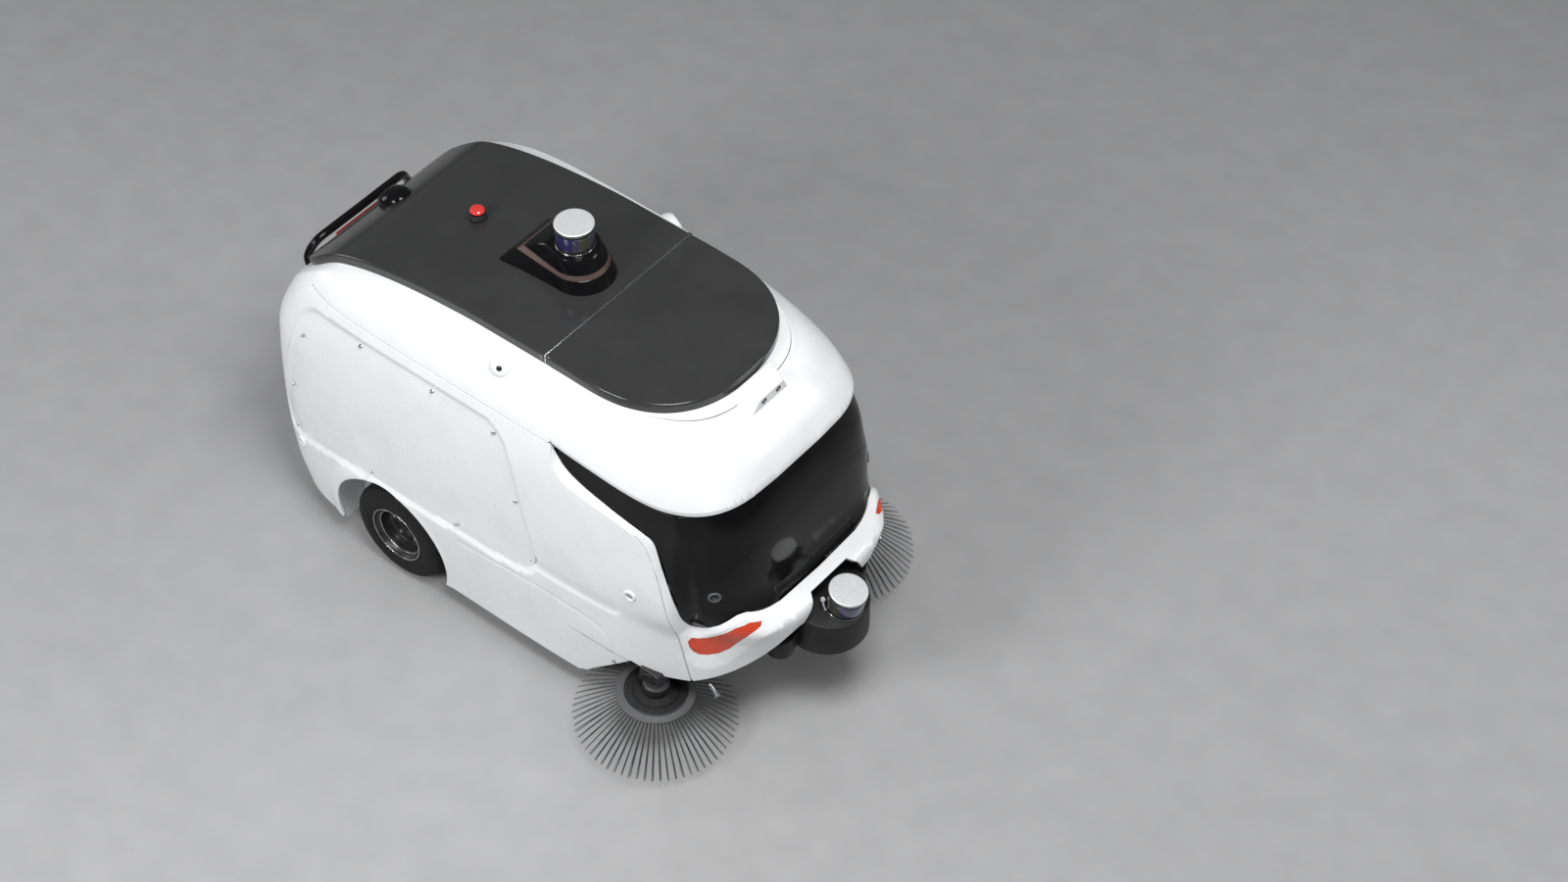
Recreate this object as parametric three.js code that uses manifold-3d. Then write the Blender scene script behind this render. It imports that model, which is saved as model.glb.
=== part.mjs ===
// Autonomous outdoor sweeper: a small robotic floor cleaner with two side brushes, a main roller,
// two driven rear wheels, one steered front wheel, a drawer-type debris hopper and two lidars.
// Units are millimetres, +X is the direction of travel, +Y is left and +Z is up.
import * as THREE from 'three';
import { mergeVertices } from 'three/addons/utils/BufferGeometryUtils.js';
import Module from 'manifold-3d';

const wasm = await Module();
wasm.setup();

// ---- driving dimensions ---------------------------------------------------------------------
const GAP = 0.3;              // clearance between touching pieces
const SEAM = 2;               // visible panel gap
const SKIN = 6;               // wall thickness of the moulded body panels
const CENTRE_SHIFT = 9.7;     // moves the station frame so that the footprint is centred on the origin
const SKIRT_BOTTOM = 66;      // lowest edge of the body
const WIDEST_STATION = -155;  // where the body is widest, along X
const REAR_SQUARENESS = 5.5;  // superellipse exponent of the tail
const ROOF_HALF_WIDTH = 280;
const ROOF_THICKNESS = 29;
const ROOF_SEAM_X = 85;       // where the roof cover meets the front lid
const REAR_AXLE = { x: -395, z: 149, tyreRadius: 149, tyreWidth: 85, outerFace: 413 };
const FRONT_AXLE = { x: 380, z: 110, tyreRadius: 110, tyreWidth: 50 };
const WHEEL_ARCH = { x: -412, z: 128, radius: 198 };
const BRUSH = { x: 486, y: 373, tipRadius: 222, discRadius: 104, tipPlane: 46, discPlane: 148 };
const BRUSH_TILT = { forward: THREE.MathUtils.degToRad(3.9), outward: THREE.MathUtils.degToRad(1.1) };
const BRUSH_PIVOT = { x: 330, z: 250 };
const ROLLER = { x: -60, z: 118, radius: 113, halfLength: 250 };
const ROLLER_PIVOT = { x: -190, z: 300 };
const TIE_END = -874;         // where the ties of the hopper bin meet the inside of its hatch
const HOPPER = { rear: -842, front: -548, half: 272, bottom: 146, top: 326 };
const LIDAR = { radius: 51.7, height: 72 };
const ROOF_LIDAR = { x: -56, z: 1133 };
const FRONT_LIDAR = { x: 812, z: 380, tilt: THREE.MathUtils.degToRad(10.5) };
const POD = { x: 757, radius: 110, bottom: 270 };
const STEERING = { gearRadius: 45, pinionRadius: 15, z: 385, thickness: 15 };
const RAIL = { y: 250, width: 30, bottom: 330, top: 370 };
const SHELF_Z = 530;          // top of the shelf that carries the control box

// ---- smooth station curves ------------------------------------------------------------------
// A smooth curve through [position, value] stations, flat at its local extremes.
function stationCurve(stations) {
  const last = stations.length - 1;
  const slopes = stations.slice(1).map((s, i) => (s[1] - stations[i][1]) / (s[0] - stations[i][0]));
  const tangents = stations.map((s, i) => {
    if (i === 0) return slopes[0];
    if (i === last) return slopes[last - 1];
    const before = slopes[i - 1];
    const after = slopes[i];
    return before * after <= 0 ? 0 : (2 * before * after) / (before + after);
  });
  return (position) => {
    const p = Math.min(Math.max(position, stations[0][0]), stations[last][0]);
    let i = 0;
    while (i < last - 1 && p > stations[i + 1][0]) i += 1;
    const span = stations[i + 1][0] - stations[i][0];
    const t = (p - stations[i][0]) / span;
    const hermite = (2 * t ** 3 - 3 * t ** 2 + 1) * stations[i][1] + (3 * t ** 2 - 2 * t ** 3) * stations[i + 1][1];
    return hermite + (t ** 3 - 2 * t ** 2 + t) * span * tangents[i] + (t ** 3 - t ** 2) * span * tangents[i + 1];
  };
}

// Body stations by height: how far the nose and the tail reach, the half width and the squareness
// of the nose in plan.
const noseX = stationCurve([[60, 700], [330, 763], [430, 785], [520, 743], [590, 731], [690, 712], [760, 698],
  [832, 668], [890, 638], [930, 610], [974, 574], [1012, 526], [1040, 502]]);
const tailX = stationCurve([[60, -850], [180, -885], [380, -895], [630, -885], [780, -822], [880, -745],
  [960, -635], [1040, -355]]);
const halfWidth = stationCurve([[60, 403], [330, 416], [530, 414], [730, 402], [880, 375], [960, 342], [1010, 308],
  [1040, 286]]);
const noseSquareness = stationCurve([[60, 4.0], [380, 3.4], [530, 4.6], [690, 4.4], [832, 4.4], [930, 3.9],
  [1000, 3.2], [1040, 2.8]]);
// Height of the roof's top face along X.
const roofTop = stationCurve([[-950, 640], [-860, 745], [-800, 812], [-748, 867], [-613, 962], [-430, 1012],
  [-265, 1034], [-131, 1043], [85, 1045], [225, 1043], [520, 1034], [700, 1020]]);

// ---- geometry helpers -----------------------------------------------------------------------
function toSolid(geometry) {
  const bare = geometry.clone();
  bare.deleteAttribute('normal');
  bare.deleteAttribute('uv');
  const merged = mergeVertices(bare, 1e-4);
  const triVerts = Uint32Array.from(merged.index.array);
  const vertProperties = Float32Array.from(merged.attributes.position.array);
  return new wasm.Manifold(new wasm.Mesh({ numProp: 3, vertProperties, triVerts }));
}

function toGeometry(solid) {
  const mesh = solid.getMesh();
  const geometry = new THREE.BufferGeometry();
  const positions = new Float32Array(mesh.numVert * 3);
  for (let i = 0; i < mesh.numVert; i += 1) {
    for (let k = 0; k < 3; k += 1) positions[i * 3 + k] = mesh.vertProperties[i * mesh.numProp + k];
  }
  geometry.setAttribute('position', new THREE.BufferAttribute(positions, 3));
  geometry.setIndex(new THREE.BufferAttribute(Uint32Array.from(mesh.triVerts), 1));
  return geometry;
}

const joined = (...geometries) => geometries.map(toSolid).reduce((a, b) => a.add(b));
const moved = (geometry, x, y, z) => geometry.clone().translate(x, y, z);
const box = (x0, x1, y0, y1, z0, z1) =>
  new THREE.BoxGeometry(x1 - x0, y1 - y0, z1 - z0).translate((x0 + x1) / 2, (y0 + y1) / 2, (z0 + z1) / 2);
const shapeOf = (points) => new THREE.Shape(points.map(([a, b]) => new THREE.Vector2(a, b)));
const prism = (points, depth) => new THREE.ExtrudeGeometry(shapeOf(points), { depth, bevelEnabled: false });
// Prism of an outline in plan (x, y), in side view (x, z) or in front view (y, z).
const planPrism = (points, z0, z1) => prism(points, z1 - z0).translate(0, 0, z0);
const sidePrism = (points, y0, y1) => prism(points, y1 - y0).rotateX(Math.PI / 2).translate(0, y1, 0);
const frontTurn = new THREE.Matrix4().makeBasis(
  new THREE.Vector3(0, 1, 0), new THREE.Vector3(0, 0, 1), new THREE.Vector3(1, 0, 0));
const frontPrism = (points, x0, x1) => prism(points, x1 - x0).applyMatrix4(frontTurn).translate(x0, 0, 0);
// Solid of revolution about Z from [radius, height] points; a profile off the axis is closed on itself.
function turned(profile, sides = 24) {
  const closed = profile[0][0] > 0 ? [...profile, profile[0]] : profile;
  return new THREE.LatheGeometry(closed.map(([r, h]) => new THREE.Vector2(r, h)), sides).rotateX(Math.PI / 2);
}
const alongY = (geometry) => geometry.rotateX(-Math.PI / 2);
const rod = (radius, x, z, y0, y1, sides = 20) =>
  new THREE.CylinderGeometry(radius, radius, y1 - y0, sides).translate(x, (y0 + y1) / 2, z);
const post = (radius, x, y, z0, z1, sides = 20) =>
  moved(new THREE.CylinderGeometry(radius, radius, z1 - z0, sides).rotateX(Math.PI / 2), x, y, (z0 + z1) / 2);
const tube = (points, radius, sides, steps) => {
  const path = new THREE.CatmullRomCurve3(points.map((p) => new THREE.Vector3(...p)), false, 'centripetal');
  const ring = new THREE.Shape().absarc(0, 0, radius, 0, 2 * Math.PI);
  return new THREE.ExtrudeGeometry(ring, { steps, curveSegments: sides, extrudePath: path, bevelEnabled: false });
};

// Moves every side of a closed outline outwards by a distance.
function grown(points, distance) {
  const area = points.reduce((sum, p, i) => {
    const q = points[(i + 1) % points.length];
    return sum + p[0] * q[1] - q[0] * p[1];
  }, 0);
  const way = Math.sign(area) * distance;
  return points.map((p, i) => {
    const before = points[(i + points.length - 1) % points.length];
    const after = points[(i + 1) % points.length];
    const a = new THREE.Vector2(p[1] - before[1], before[0] - p[0]).normalize();
    const b = new THREE.Vector2(after[1] - p[1], p[0] - after[0]).normalize();
    const bisector = a.clone().add(b).normalize();
    const reach = Math.min(1 / Math.max(bisector.dot(a), 0.3), 2);
    return [p[0] + bisector.x * way * reach, p[1] + bisector.y * way * reach];
  });
}

// ---- body surface ---------------------------------------------------------------------------
const QUARTER = 10;  // steps in a quarter of the plan outline

// Plan outline of the body at a height, moved inwards by inset.
function bodyOutline(height, inset) {
  const width = halfWidth(height) - inset;
  const nose = noseX(height) - inset - WIDEST_STATION;
  const tail = WIDEST_STATION - tailX(height) - inset;
  const points = [];
  for (let i = 0; i < 4 * QUARTER; i += 1) {
    const angle = (i / (2 * QUARTER)) * Math.PI;
    const c = Math.cos(angle);
    const s = Math.sin(angle);
    const power = 2 / (c > 0 ? noseSquareness(height) : REAR_SQUARENESS);
    const x = Math.sign(c) * Math.abs(c) ** power * (c > 0 ? nose : tail);
    points.push([WIDEST_STATION + x, Math.sign(s) * Math.abs(s) ** power * width]);
  }
  return points;
}

// Closed solid through a stack of outlines with equal point counts, each given with its height.
function stackedSolid(layers) {
  const count = layers[0].outline.length;
  const vertices = [];
  layers.forEach(({ outline, height }) => outline.forEach(([x, y]) => vertices.push(x, y, height)));
  const faces = [];
  for (let k = 0; k < layers.length - 1; k += 1) {
    for (let i = 0; i < count; i += 1) {
      const a = k * count + i;
      const b = k * count + ((i + 1) % count);
      faces.push(a, b, b + count, a, b + count, a + count);
    }
  }
  const ends = [[0, true], [layers.length - 1, false]];
  ends.forEach(([k, isBottom]) => {
    const { outline, height } = layers[k];
    const centre = vertices.length / 3;
    const mean = outline.reduce((m, p) => [m[0] + p[0] / count, m[1] + p[1] / count], [0, 0]);
    vertices.push(mean[0], mean[1], height);
    for (let i = 0; i < count; i += 1) {
      const a = k * count + i;
      const b = k * count + ((i + 1) % count);
      faces.push(...(isBottom ? [centre, b, a] : [centre, a, b]));
    }
  });
  const geometry = new THREE.BufferGeometry();
  geometry.setAttribute('position', new THREE.Float32BufferAttribute(vertices, 3));
  geometry.setIndex(faces);
  return geometry;
}

const BODY_HEIGHTS = [SKIRT_BOTTOM, 200, 330, 385, 430, 475, 520, 590, 690, 780, 850, 905, 945, 980, 1010, 1030];
function bodySolid(inset, bottom = SKIRT_BOTTOM) {
  const heights = [bottom, ...BODY_HEIGHTS.slice(1)];
  return toSolid(stackedSolid(heights.map((height) => ({ outline: bodyOutline(height, inset), height }))));
}

// Everything above the roof's underside, lowered by drop: it trims the body's top.
function aboveRoof(drop) {
  const points = [];
  [-940, -880, -840, -800, -760, -710, -650, -580, -500, -420, -330, -240, -150, 85, 250, 400, 520, 700].forEach(
    (x) => points.push([x, roofTop(x) - drop]));
  return toSolid(sidePrism([...points, [700, 1300], [-940, 1300]], -600, 600));
}

// Everything below the roof's top face raised by rise: it shapes the feet of what stands on the roof.
const belowRoof = (rise) => toSolid(box(-1000, 1000, -600, 600, 0, 1300)).subtract(aboveRoof(-rise));

// Outline of the roof in plan: straight sides, rounded tail corners and a squarish elliptical nose.
function roofOutline(inset) {
  const width = ROOF_HALF_WIDTH - inset;
  const noseStart = 215;
  const noseLength = 288 - inset;
  const noseSteps = 24;
  const tail = -792 + inset;
  const corner = 70;
  const right = [[tail, -width + corner], [tail + 9, -width + 34], [tail + 34, -width + 9], [tail + corner, -width]];
  const nose = [];
  for (let i = 0; i <= noseSteps; i += 1) {
    const angle = (i / noseSteps - 0.5) * Math.PI;
    const c = Math.cos(angle);
    const s = Math.sin(angle);
    nose.push([noseStart + noseLength * c ** 0.85, Math.sign(s) * width * Math.abs(s) ** 0.85]);
  }
  const left = right.map(([x, y]) => [x, -y]).reverse();
  return [...right, ...nose, ...left];
}

// ---- panel outlines in side view ------------------------------------------------------------
const HOOD_SEAM = [[ROOF_SEAM_X, 1060], [ROOF_SEAM_X, 1045], [102, 1022], [126, 980], [142, 939], [178, 864]];
const WINDOW_TOP = [[230, 857], [300, 850], [441, 828], [520, 820], [600, 824], [660, 832], [720, 838],
  [900, 840]];
const WINDOW_FOOT = [[900, 492], [760, 494], [740, 502], [714, 518], [690, 508], [650, 475], [622, 456], [597, 446],
  [585, 470], [570, 545], [512, 676], [500, 708], [482, 726], [452, 738], [365, 765], [274, 788], [222, 808],
  [196, 834]];
const LIP_CREASE = [[180, 850], [184, 821], [206, 787], [245, 771], [367, 750], [467, 720], [508, 641], [544, 503],
  [573, 299], [588, 190]];
const REAR_SEAM = [[-675, 866], [-694, 805], [-754, 632], [-807, 474], [-829, 393], [-829, 300], [-829, 20]];
const LIGHT_OUTLINE = [[589, 386], [596, 354], [618, 342], [668, 374], [723, 447], [746, 477], [717, 492],
  [673, 453], [618, 404]];
const PANEL_OUTLINE = [[-790, 430], [-731, 616], [-702, 723], [-680, 775], [-650, 800], [-600, 811], [-49, 817],
  [-10, 805], [24, 772], [54, 677], [84, 555], [122, 430], [118, 395], [71, 357], [-240, 347], [-603, 335],
  [-796, 283], [-818, 330]];
// Below this line the nose is open: front edge of the skirt and underside of the bumper.
const UNDERSIDE = [[246, 0], [246, SKIRT_BOTTOM], [272, 78], [290, 98], [423, 222], [465, 212], [518, 211],
  [587, 221], [637, 248], [696, 292], [743, 340], [774, 392], [783, 440], [920, 440], [920, 0]];
const HOOD_REGION = [...HOOD_SEAM, ...WINDOW_TOP, [900, 1060]];
const WINDOW_REGION = [[178, 864], ...WINDOW_TOP, ...WINDOW_FOOT];
const BUMPER_REGION = [...LIP_CREASE, [900, 190], [900, 850]];
// Notch in front view that lets the front lidar and its pod sit under the bumper's nose.
const NOTCH = [[-118, 200], [-118, 390], [-92, 441], [-72, 466], [72, 466], [92, 441], [118, 390], [118, 200]];
const SIDE_REGION = [[178, 866], ...REAR_SEAM, [588, 20], ...[...LIP_CREASE].reverse()];
const HATCH_HALF_WIDTH = 285;
const HATCH_OUTLINE = [[-HATCH_HALF_WIDTH, 150], [-HATCH_HALF_WIDTH + 30, 120], [HATCH_HALF_WIDTH - 30, 120],
  [HATCH_HALF_WIDTH, 150], [HATCH_HALF_WIDTH, 530], [HATCH_HALF_WIDTH - 30, 560], [-HATCH_HALF_WIDTH + 30, 560],
  [-HATCH_HALF_WIDTH, 530]];

const across = (points) => toSolid(sidePrism(points, -600, 600));
const rightHalf = toSolid(box(-1000, 1000, -600, 0, 0, 1300));
const leftHalf = toSolid(box(-1000, 1000, 0, 600, 0, 1300));
const hatchRegion = (margin) => toSolid(frontPrism(grown(HATCH_OUTLINE, margin), -1000, -700));

// Wheel arch liners: a curved wall around each rear wheel and a flat wall behind it.
function archLiners(outside) {
  const { x, z, radius } = WHEEL_ARCH;
  const sheet = 4;
  const inner = 308;
  const drum = (r, y0, y1) => toSolid(rod(r, x, z, y0, y1, 40));
  const between = toSolid(box(-1000, 1000, -inner, inner, 0, 1300));
  const space = drum(radius, -600, 600).subtract(drum(radius + 1, -inner - sheet, inner + sheet));
  const shaftHoles = toSolid(rod(24, REAR_AXLE.x, REAR_AXLE.z, -600, 600));
  return drum(radius + sheet, -600, 600).subtract(space).subtract(between).subtract(shaftHoles).intersect(outside);
}

function bodyPanels() {
  const outside = bodySolid(0).subtract(aboveRoof(ROOF_THICKNESS + GAP));
  const inside = bodySolid(SKIN, SKIRT_BOTTOM - 20).subtract(aboveRoof(ROOF_THICKNESS + GAP + SKIN));
  const hatches = planPrism(roofOutline(35), 600, 1200);
  const crossStrip = box(ROOF_SEAM_X - 30, ROOF_SEAM_X + 30, -400, 400, 500, 1250);
  const tailStrip = box(-1000, -660, -400, 400, 500, 1250);
  const openings = toSolid(hatches).subtract(toSolid(crossStrip)).subtract(toSolid(tailStrip));
  const archCut = rod(WHEEL_ARCH.radius, WHEEL_ARCH.x, WHEEL_ARCH.z, -600, 600, 40);
  const shell = outside.subtract(inside).subtract(openings).subtract(across(UNDERSIDE)).subtract(toSolid(archCut));
  const hood = shell.intersect(across(HOOD_REGION));
  const afterHood = shell.subtract(across(grown(HOOD_REGION, SEAM)));
  const windshield = afterHood.intersect(across(WINDOW_REGION));
  const afterWindow = afterHood.subtract(across(grown(WINDOW_REGION, 1)));
  const frontEnd = afterWindow.intersect(across(BUMPER_REGION));
  const lights = frontEnd.intersect(across(LIGHT_OUTLINE));
  const notch = toSolid(frontPrism(NOTCH, 600, 900));
  const bumper = frontEnd.subtract(across(grown(LIGHT_OUTLINE, 1))).subtract(notch);
  const afterBumper = afterWindow.subtract(across(grown(BUMPER_REGION, SEAM)));
  const sides = afterBumper.intersect(across(SIDE_REGION));
  const panels = sides.intersect(across(PANEL_OUTLINE));
  const sideBodies = sides.subtract(across(grown(PANEL_OUTLINE, SEAM))).add(archLiners(outside));
  const behindWindow = toSolid(box(-1000, 172, -600, 600, 0, 1300));
  const afterSides = afterBumper.subtract(across(grown(SIDE_REGION, SEAM))).intersect(behindWindow);
  const hatch = afterSides.intersect(hatchRegion(0));
  const rearShell = afterSides.subtract(hatchRegion(SEAM));
  return { hood, windshield, lights, bumper, panels, sideBodies, hatch, rearShell };
}

function roofPanels() {
  const rim = 14;
  const sheet = 5;
  const slab = toSolid(planPrism(roofOutline(0), 600, 1200));
  const hollow = toSolid(planPrism(roofOutline(rim), 500, 1250)).subtract(aboveRoof(sheet));
  const seamRib = toSolid(box(ROOF_SEAM_X - rim, ROOF_SEAM_X + rim, -600, 600, 0, 1300));
  const roof = slab.subtract(belowRoof(-ROOF_THICKNESS)).subtract(aboveRoof(0)).subtract(hollow.subtract(seamRib));
  const seam = SEAM / 2;
  return {
    cover: roof.subtract(toSolid(box(ROOF_SEAM_X - seam, 1000, -600, 600, 0, 1300))),
    lid: roof.subtract(toSolid(box(-1000, ROOF_SEAM_X + seam, -600, 600, 0, 1300))),
  };
}

// ---- scene assembly -------------------------------------------------------------------------
const group = new THREE.Group();
const station = new THREE.Group();
station.position.x = CENTRE_SHIFT;
group.add(station);

const FINISHES = {
  whitePanel: { color: 0xf2f3f4, roughness: 0.28, metalness: 0 },
  blackGloss: { color: 0x101113, roughness: 0.12, metalness: 0 },
  blackPlastic: { color: 0x1b1c1e, roughness: 0.55, metalness: 0 },
  rubber: { color: 0x1a1a1a, roughness: 0.85, metalness: 0 },
  silver: { color: 0xc9cccf, roughness: 0.35, metalness: 0.9 },
  steel: { color: 0x6c7075, roughness: 0.5, metalness: 0.8 },
  red: { color: 0xc8201c, roughness: 0.3, metalness: 0 },
  reflector: { color: 0xd9401c, roughness: 0.25, metalness: 0 },
  sensorGlass: { color: 0x2a2a55, roughness: 0.1, metalness: 0 },
  bristle: { color: 0x242526, roughness: 0.8, metalness: 0 },
  tank: { color: 0x7f8a90, roughness: 0.6, metalness: 0 },
};

function addPart(name, shape, finish, parent = station) {
  const geometry = shape.isBufferGeometry ? shape : toGeometry(shape);
  const mesh = new THREE.Mesh(geometry, new THREE.MeshStandardMaterial(FINISHES[finish]));
  mesh.name = name;
  parent.add(mesh);
  return mesh;
}

const SIDES = [['right', -1], ['left', 1]];

function addBody() {
  const panels = bodyPanels();
  const roof = roofPanels();
  addPart('hood', panels.hood, 'whitePanel');
  addPart('windshield', panels.windshield, 'blackGloss');
  addPart('front_bumper', panels.bumper, 'whitePanel');
  addPart('rear_shell', panels.rearShell, 'whitePanel');
  addPart('hopper_hatch', panels.hatch, 'whitePanel');
  addPart('roof_cover', roof.cover, 'blackGloss');
  addPart('front_lid', roof.lid, 'blackGloss');
  SIDES.forEach(([label, side]) => {
    const half = side < 0 ? rightHalf : leftHalf;
    addPart(`side_body_${label}`, panels.sideBodies.intersect(half), 'whitePanel');
    addPart(`side_panel_${label}`, panels.panels.intersect(half), 'whitePanel');
    addPart(`light_${label}`, panels.lights.intersect(half), 'reflector');
  });
}

// Fairing under the roof lidar: a round cone whose tail runs out into a flat-ended wedge.
function addLidarFairing() {
  const base = roofTop(ROOF_LIDAR.x) - 14;
  const top = ROOF_LIDAR.z - GAP;
  const rimRadius = 65;
  const baseRadius = 88;
  const baseCentre = 21;       // the cone's foot sits further forward than its rim
  const tailReach = 187;
  const tailHalfWidth = 86;
  const footRadius = (angle) => {
    const c = Math.cos(angle);
    const s = Math.sin(angle);
    const round = baseCentre * c + Math.sqrt(baseRadius ** 2 - (baseCentre * s) ** 2);
    if (c >= -0.05) return round;
    return Math.max(round, Math.min(tailReach / -c, tailHalfWidth / Math.max(Math.abs(s), 1e-3)));
  };
  const layer = (t, wall, height) => {
    const outline = [];
    for (let i = 0; i < 28; i += 1) {
      const angle = (i / 28) * 2 * Math.PI;
      const blend = Math.cos(angle) < -0.05 ? t ** 0.55 : t;
      const radius = THREE.MathUtils.lerp(footRadius(angle), rimRadius, blend) - wall;
      outline.push([ROOF_LIDAR.x + radius * Math.cos(angle), radius * Math.sin(angle)]);
    }
    return { outline, height };
  };
  const heights = [0, 0.2, 0.45, 0.75, 1];
  const at = (t) => THREE.MathUtils.lerp(base, top, t);
  const outer = toSolid(stackedSolid(heights.map((t) => layer(t, 0, at(t)))));
  const inner = toSolid(stackedSolid(heights.map((t) => layer(t, 4, at(t) - 4))));
  addPart('lidar_fairing', outer.subtract(inner).subtract(belowRoof(GAP)), 'blackGloss');
}

function addLidar(prefix, parent) {
  const { radius, height } = LIDAR;
  const windowBottom = 14;
  const windowTop = 55;
  const core = 30;
  const housing = turned([[0, 0], [radius - 3, 0], [radius, 3], [radius, windowBottom], [core, windowBottom],
    [core, windowTop], [radius, windowTop], [radius, height - 2], [radius - 2, height], [0, height]], 20);
  const rotor = turned([[core + 1, windowBottom + 2], [radius - 5, windowBottom + 2], [radius - 5, windowTop - 2],
    [core + 1, windowTop - 2]], 20);
  const glass = turned([[radius - 2.5, windowBottom + GAP], [radius - 0.5, windowBottom + GAP],
    [radius - 0.5, windowTop - GAP], [radius - 2.5, windowTop - GAP]], 20);
  addPart(`${prefix}_lidar_housing`, housing, 'silver', parent);
  addPart(`${prefix}_lidar_rotor`, rotor, 'blackPlastic', parent);
  addPart(`${prefix}_lidar_window`, glass, 'sensorGlass', parent);
}

function addLidars() {
  const roofMount = new THREE.Group();
  roofMount.position.set(ROOF_LIDAR.x, 0, ROOF_LIDAR.z);
  station.add(roofMount);
  addLidar('roof', roofMount);
  const frontMount = new THREE.Group();
  frontMount.position.set(FRONT_LIDAR.x, 0, FRONT_LIDAR.z);
  frontMount.rotation.y = FRONT_LIDAR.tilt;
  station.add(frontMount);
  addLidar('front', frontMount);
}

// Pod under the bumper that carries the front lidar on its sloping top, with a cross bar behind it.
function addFrontPod() {
  const drum = post(POD.radius, POD.x, 0, POD.bottom, 420, 40);
  const bar = box(700, 752, -148, 148, POD.bottom + 6, POD.bottom + 64);
  const ends = SIDES.map(([, side]) => post(38, 722, side * 148, POD.bottom + 6, POD.bottom + 64));
  const slope = Math.tan(FRONT_LIDAR.tilt);
  const topAt = (x) => FRONT_LIDAR.z - GAP - (x - FRONT_LIDAR.x) * slope;
  const above = toSolid(sidePrism([[600, topAt(600)], [900, topAt(900)], [900, 600], [600, 600]], -200, 200));
  addPart('front_pod', joined(drum, bar, ...ends).subtract(above), 'blackPlastic');
}

function addCamerasAndControls() {
  const clearBody = bodySolid(-GAP);
  const brow = stackedSolid([
    { outline: [[470, -100], [567, -79], [567, 79], [470, 100]], height: 955 },
    { outline: [[470, -92], [577, -44], [577, 44], [470, 92]], height: 1018 },
  ]);
  const lidClear = toSolid(planPrism(roofOutline(-4), 900, 1200));
  addPart('stereo_camera', toSolid(brow).subtract(clearBody).subtract(lidClear), 'whitePanel');
  SIDES.forEach(([label, side]) => {
    const dome = new THREE.SphereGeometry(1, 18, 10).scale(36, 32, 36).translate(-24, side * 319, 975);
    addPart(`side_camera_${label}`, toSolid(dome).subtract(clearBody), 'whitePanel');
  });
  const rearX = -700;
  const drop = new THREE.SphereGeometry(1, 18, 10).scale(56, 34, 34).rotateY(-0.5);
  const hoodOver = drop.translate(rearX, 0, roofTop(rearX) + 2);
  addPart('rear_camera', toSolid(hoodOver).subtract(belowRoof(GAP)), 'blackGloss');

  const handle = tube([[-846, -196, 738], [-856, -184, 756], [-844, -158, 792], [-835, -110, 804],
    [-835, 110, 804], [-844, 158, 792], [-856, 184, 756], [-846, 196, 738]], 12, 4, 30);
  addPart('push_handle', toSolid(handle).subtract(clearBody), 'blackGloss');

  const stop = { x: -395, travel: 5, bore: 10, cap: 20 };
  const stopBase = roofTop(stop.x) + 2;
  const collar = turned([[stop.bore + 1, -9], [24, -9], [24, 12], [20, 16], [stop.bore + 1, 16]], 28);
  const button = turned([[0, 8], [stop.bore, 8], [stop.bore, 22], [stop.cap, 22], [stop.cap, 27], [14, 33],
    [0, 34]], 28);
  addPart('estop_collar', toSolid(moved(collar, stop.x, 0, stopBase)).subtract(belowRoof(GAP)), 'blackPlastic');
  addPart('estop_button', moved(button, stop.x, 0, stopBase), 'red');
}

// ---- running gear ---------------------------------------------------------------------------
// Tyre and rim profiles run from the inner face (0) to the outer face (width), turned about Z.
function tyreProfile(radius, bead, width) {
  const shoulder = 14;
  return [[bead, 6], [radius - 22, 2], [radius - shoulder + 4, 5], [radius, shoulder + 2],
    [radius, width - shoulder - 2], [radius - shoulder + 4, width - 5], [radius - 22, width - 2], [bead, width - 6]];
}

function addRearWheels() {
  const { x, z, tyreRadius, tyreWidth, outerFace } = REAR_AXLE;
  const bead = 86;
  const rim = bead - 1;
  const shaft = 12;
  SIDES.forEach(([label, side]) => {
    const wheel = new THREE.Group();
    wheel.position.set(x, side * (outerFace - tyreWidth), z);
    wheel.rotation.x = side > 0 ? -Math.PI / 2 : Math.PI / 2;
    station.add(wheel);
    addPart(`rear_tyre_${label}`, turned(tyreProfile(tyreRadius, bead, tyreWidth), 32), 'rubber', wheel);
    const dish = turned([[0, -84], [shaft, -84], [shaft, 22], [54, 22], [62, 12], [rim - 7, 8], [rim, 8],
      [rim, tyreWidth - 8], [rim - 6, tyreWidth - 8], [rim - 10, 40], [58, 34], [0, 34]], 20);
    addPart(`rear_rim_${label}`, dish, 'blackPlastic', wheel);
    const reach = RAIL.y - 12 - GAP;
    const gearbox = rod(50, x, z, side > 0 ? 118 : -reach, side > 0 ? reach : -118);
    addPart(`drive_motor_${label}`, gearbox, 'steel');
  });
}

// Toothed wheel outline: trapezoid teeth on a pitch circle.
function gearOutline(teeth, pitchRadius, phase) {
  const pitch = (2 * Math.PI) / teeth;
  const corners = [[-0.3, -2.7], [-0.17, 1.9], [0.17, 1.9], [0.3, -2.7]];
  const points = [];
  for (let i = 0; i < teeth; i += 1) {
    corners.forEach(([turn, rise]) => {
      const angle = (i + turn) * pitch + phase;
      points.push([(pitchRadius + rise) * Math.cos(angle), (pitchRadius + rise) * Math.sin(angle)]);
    });
  }
  return points;
}

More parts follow.
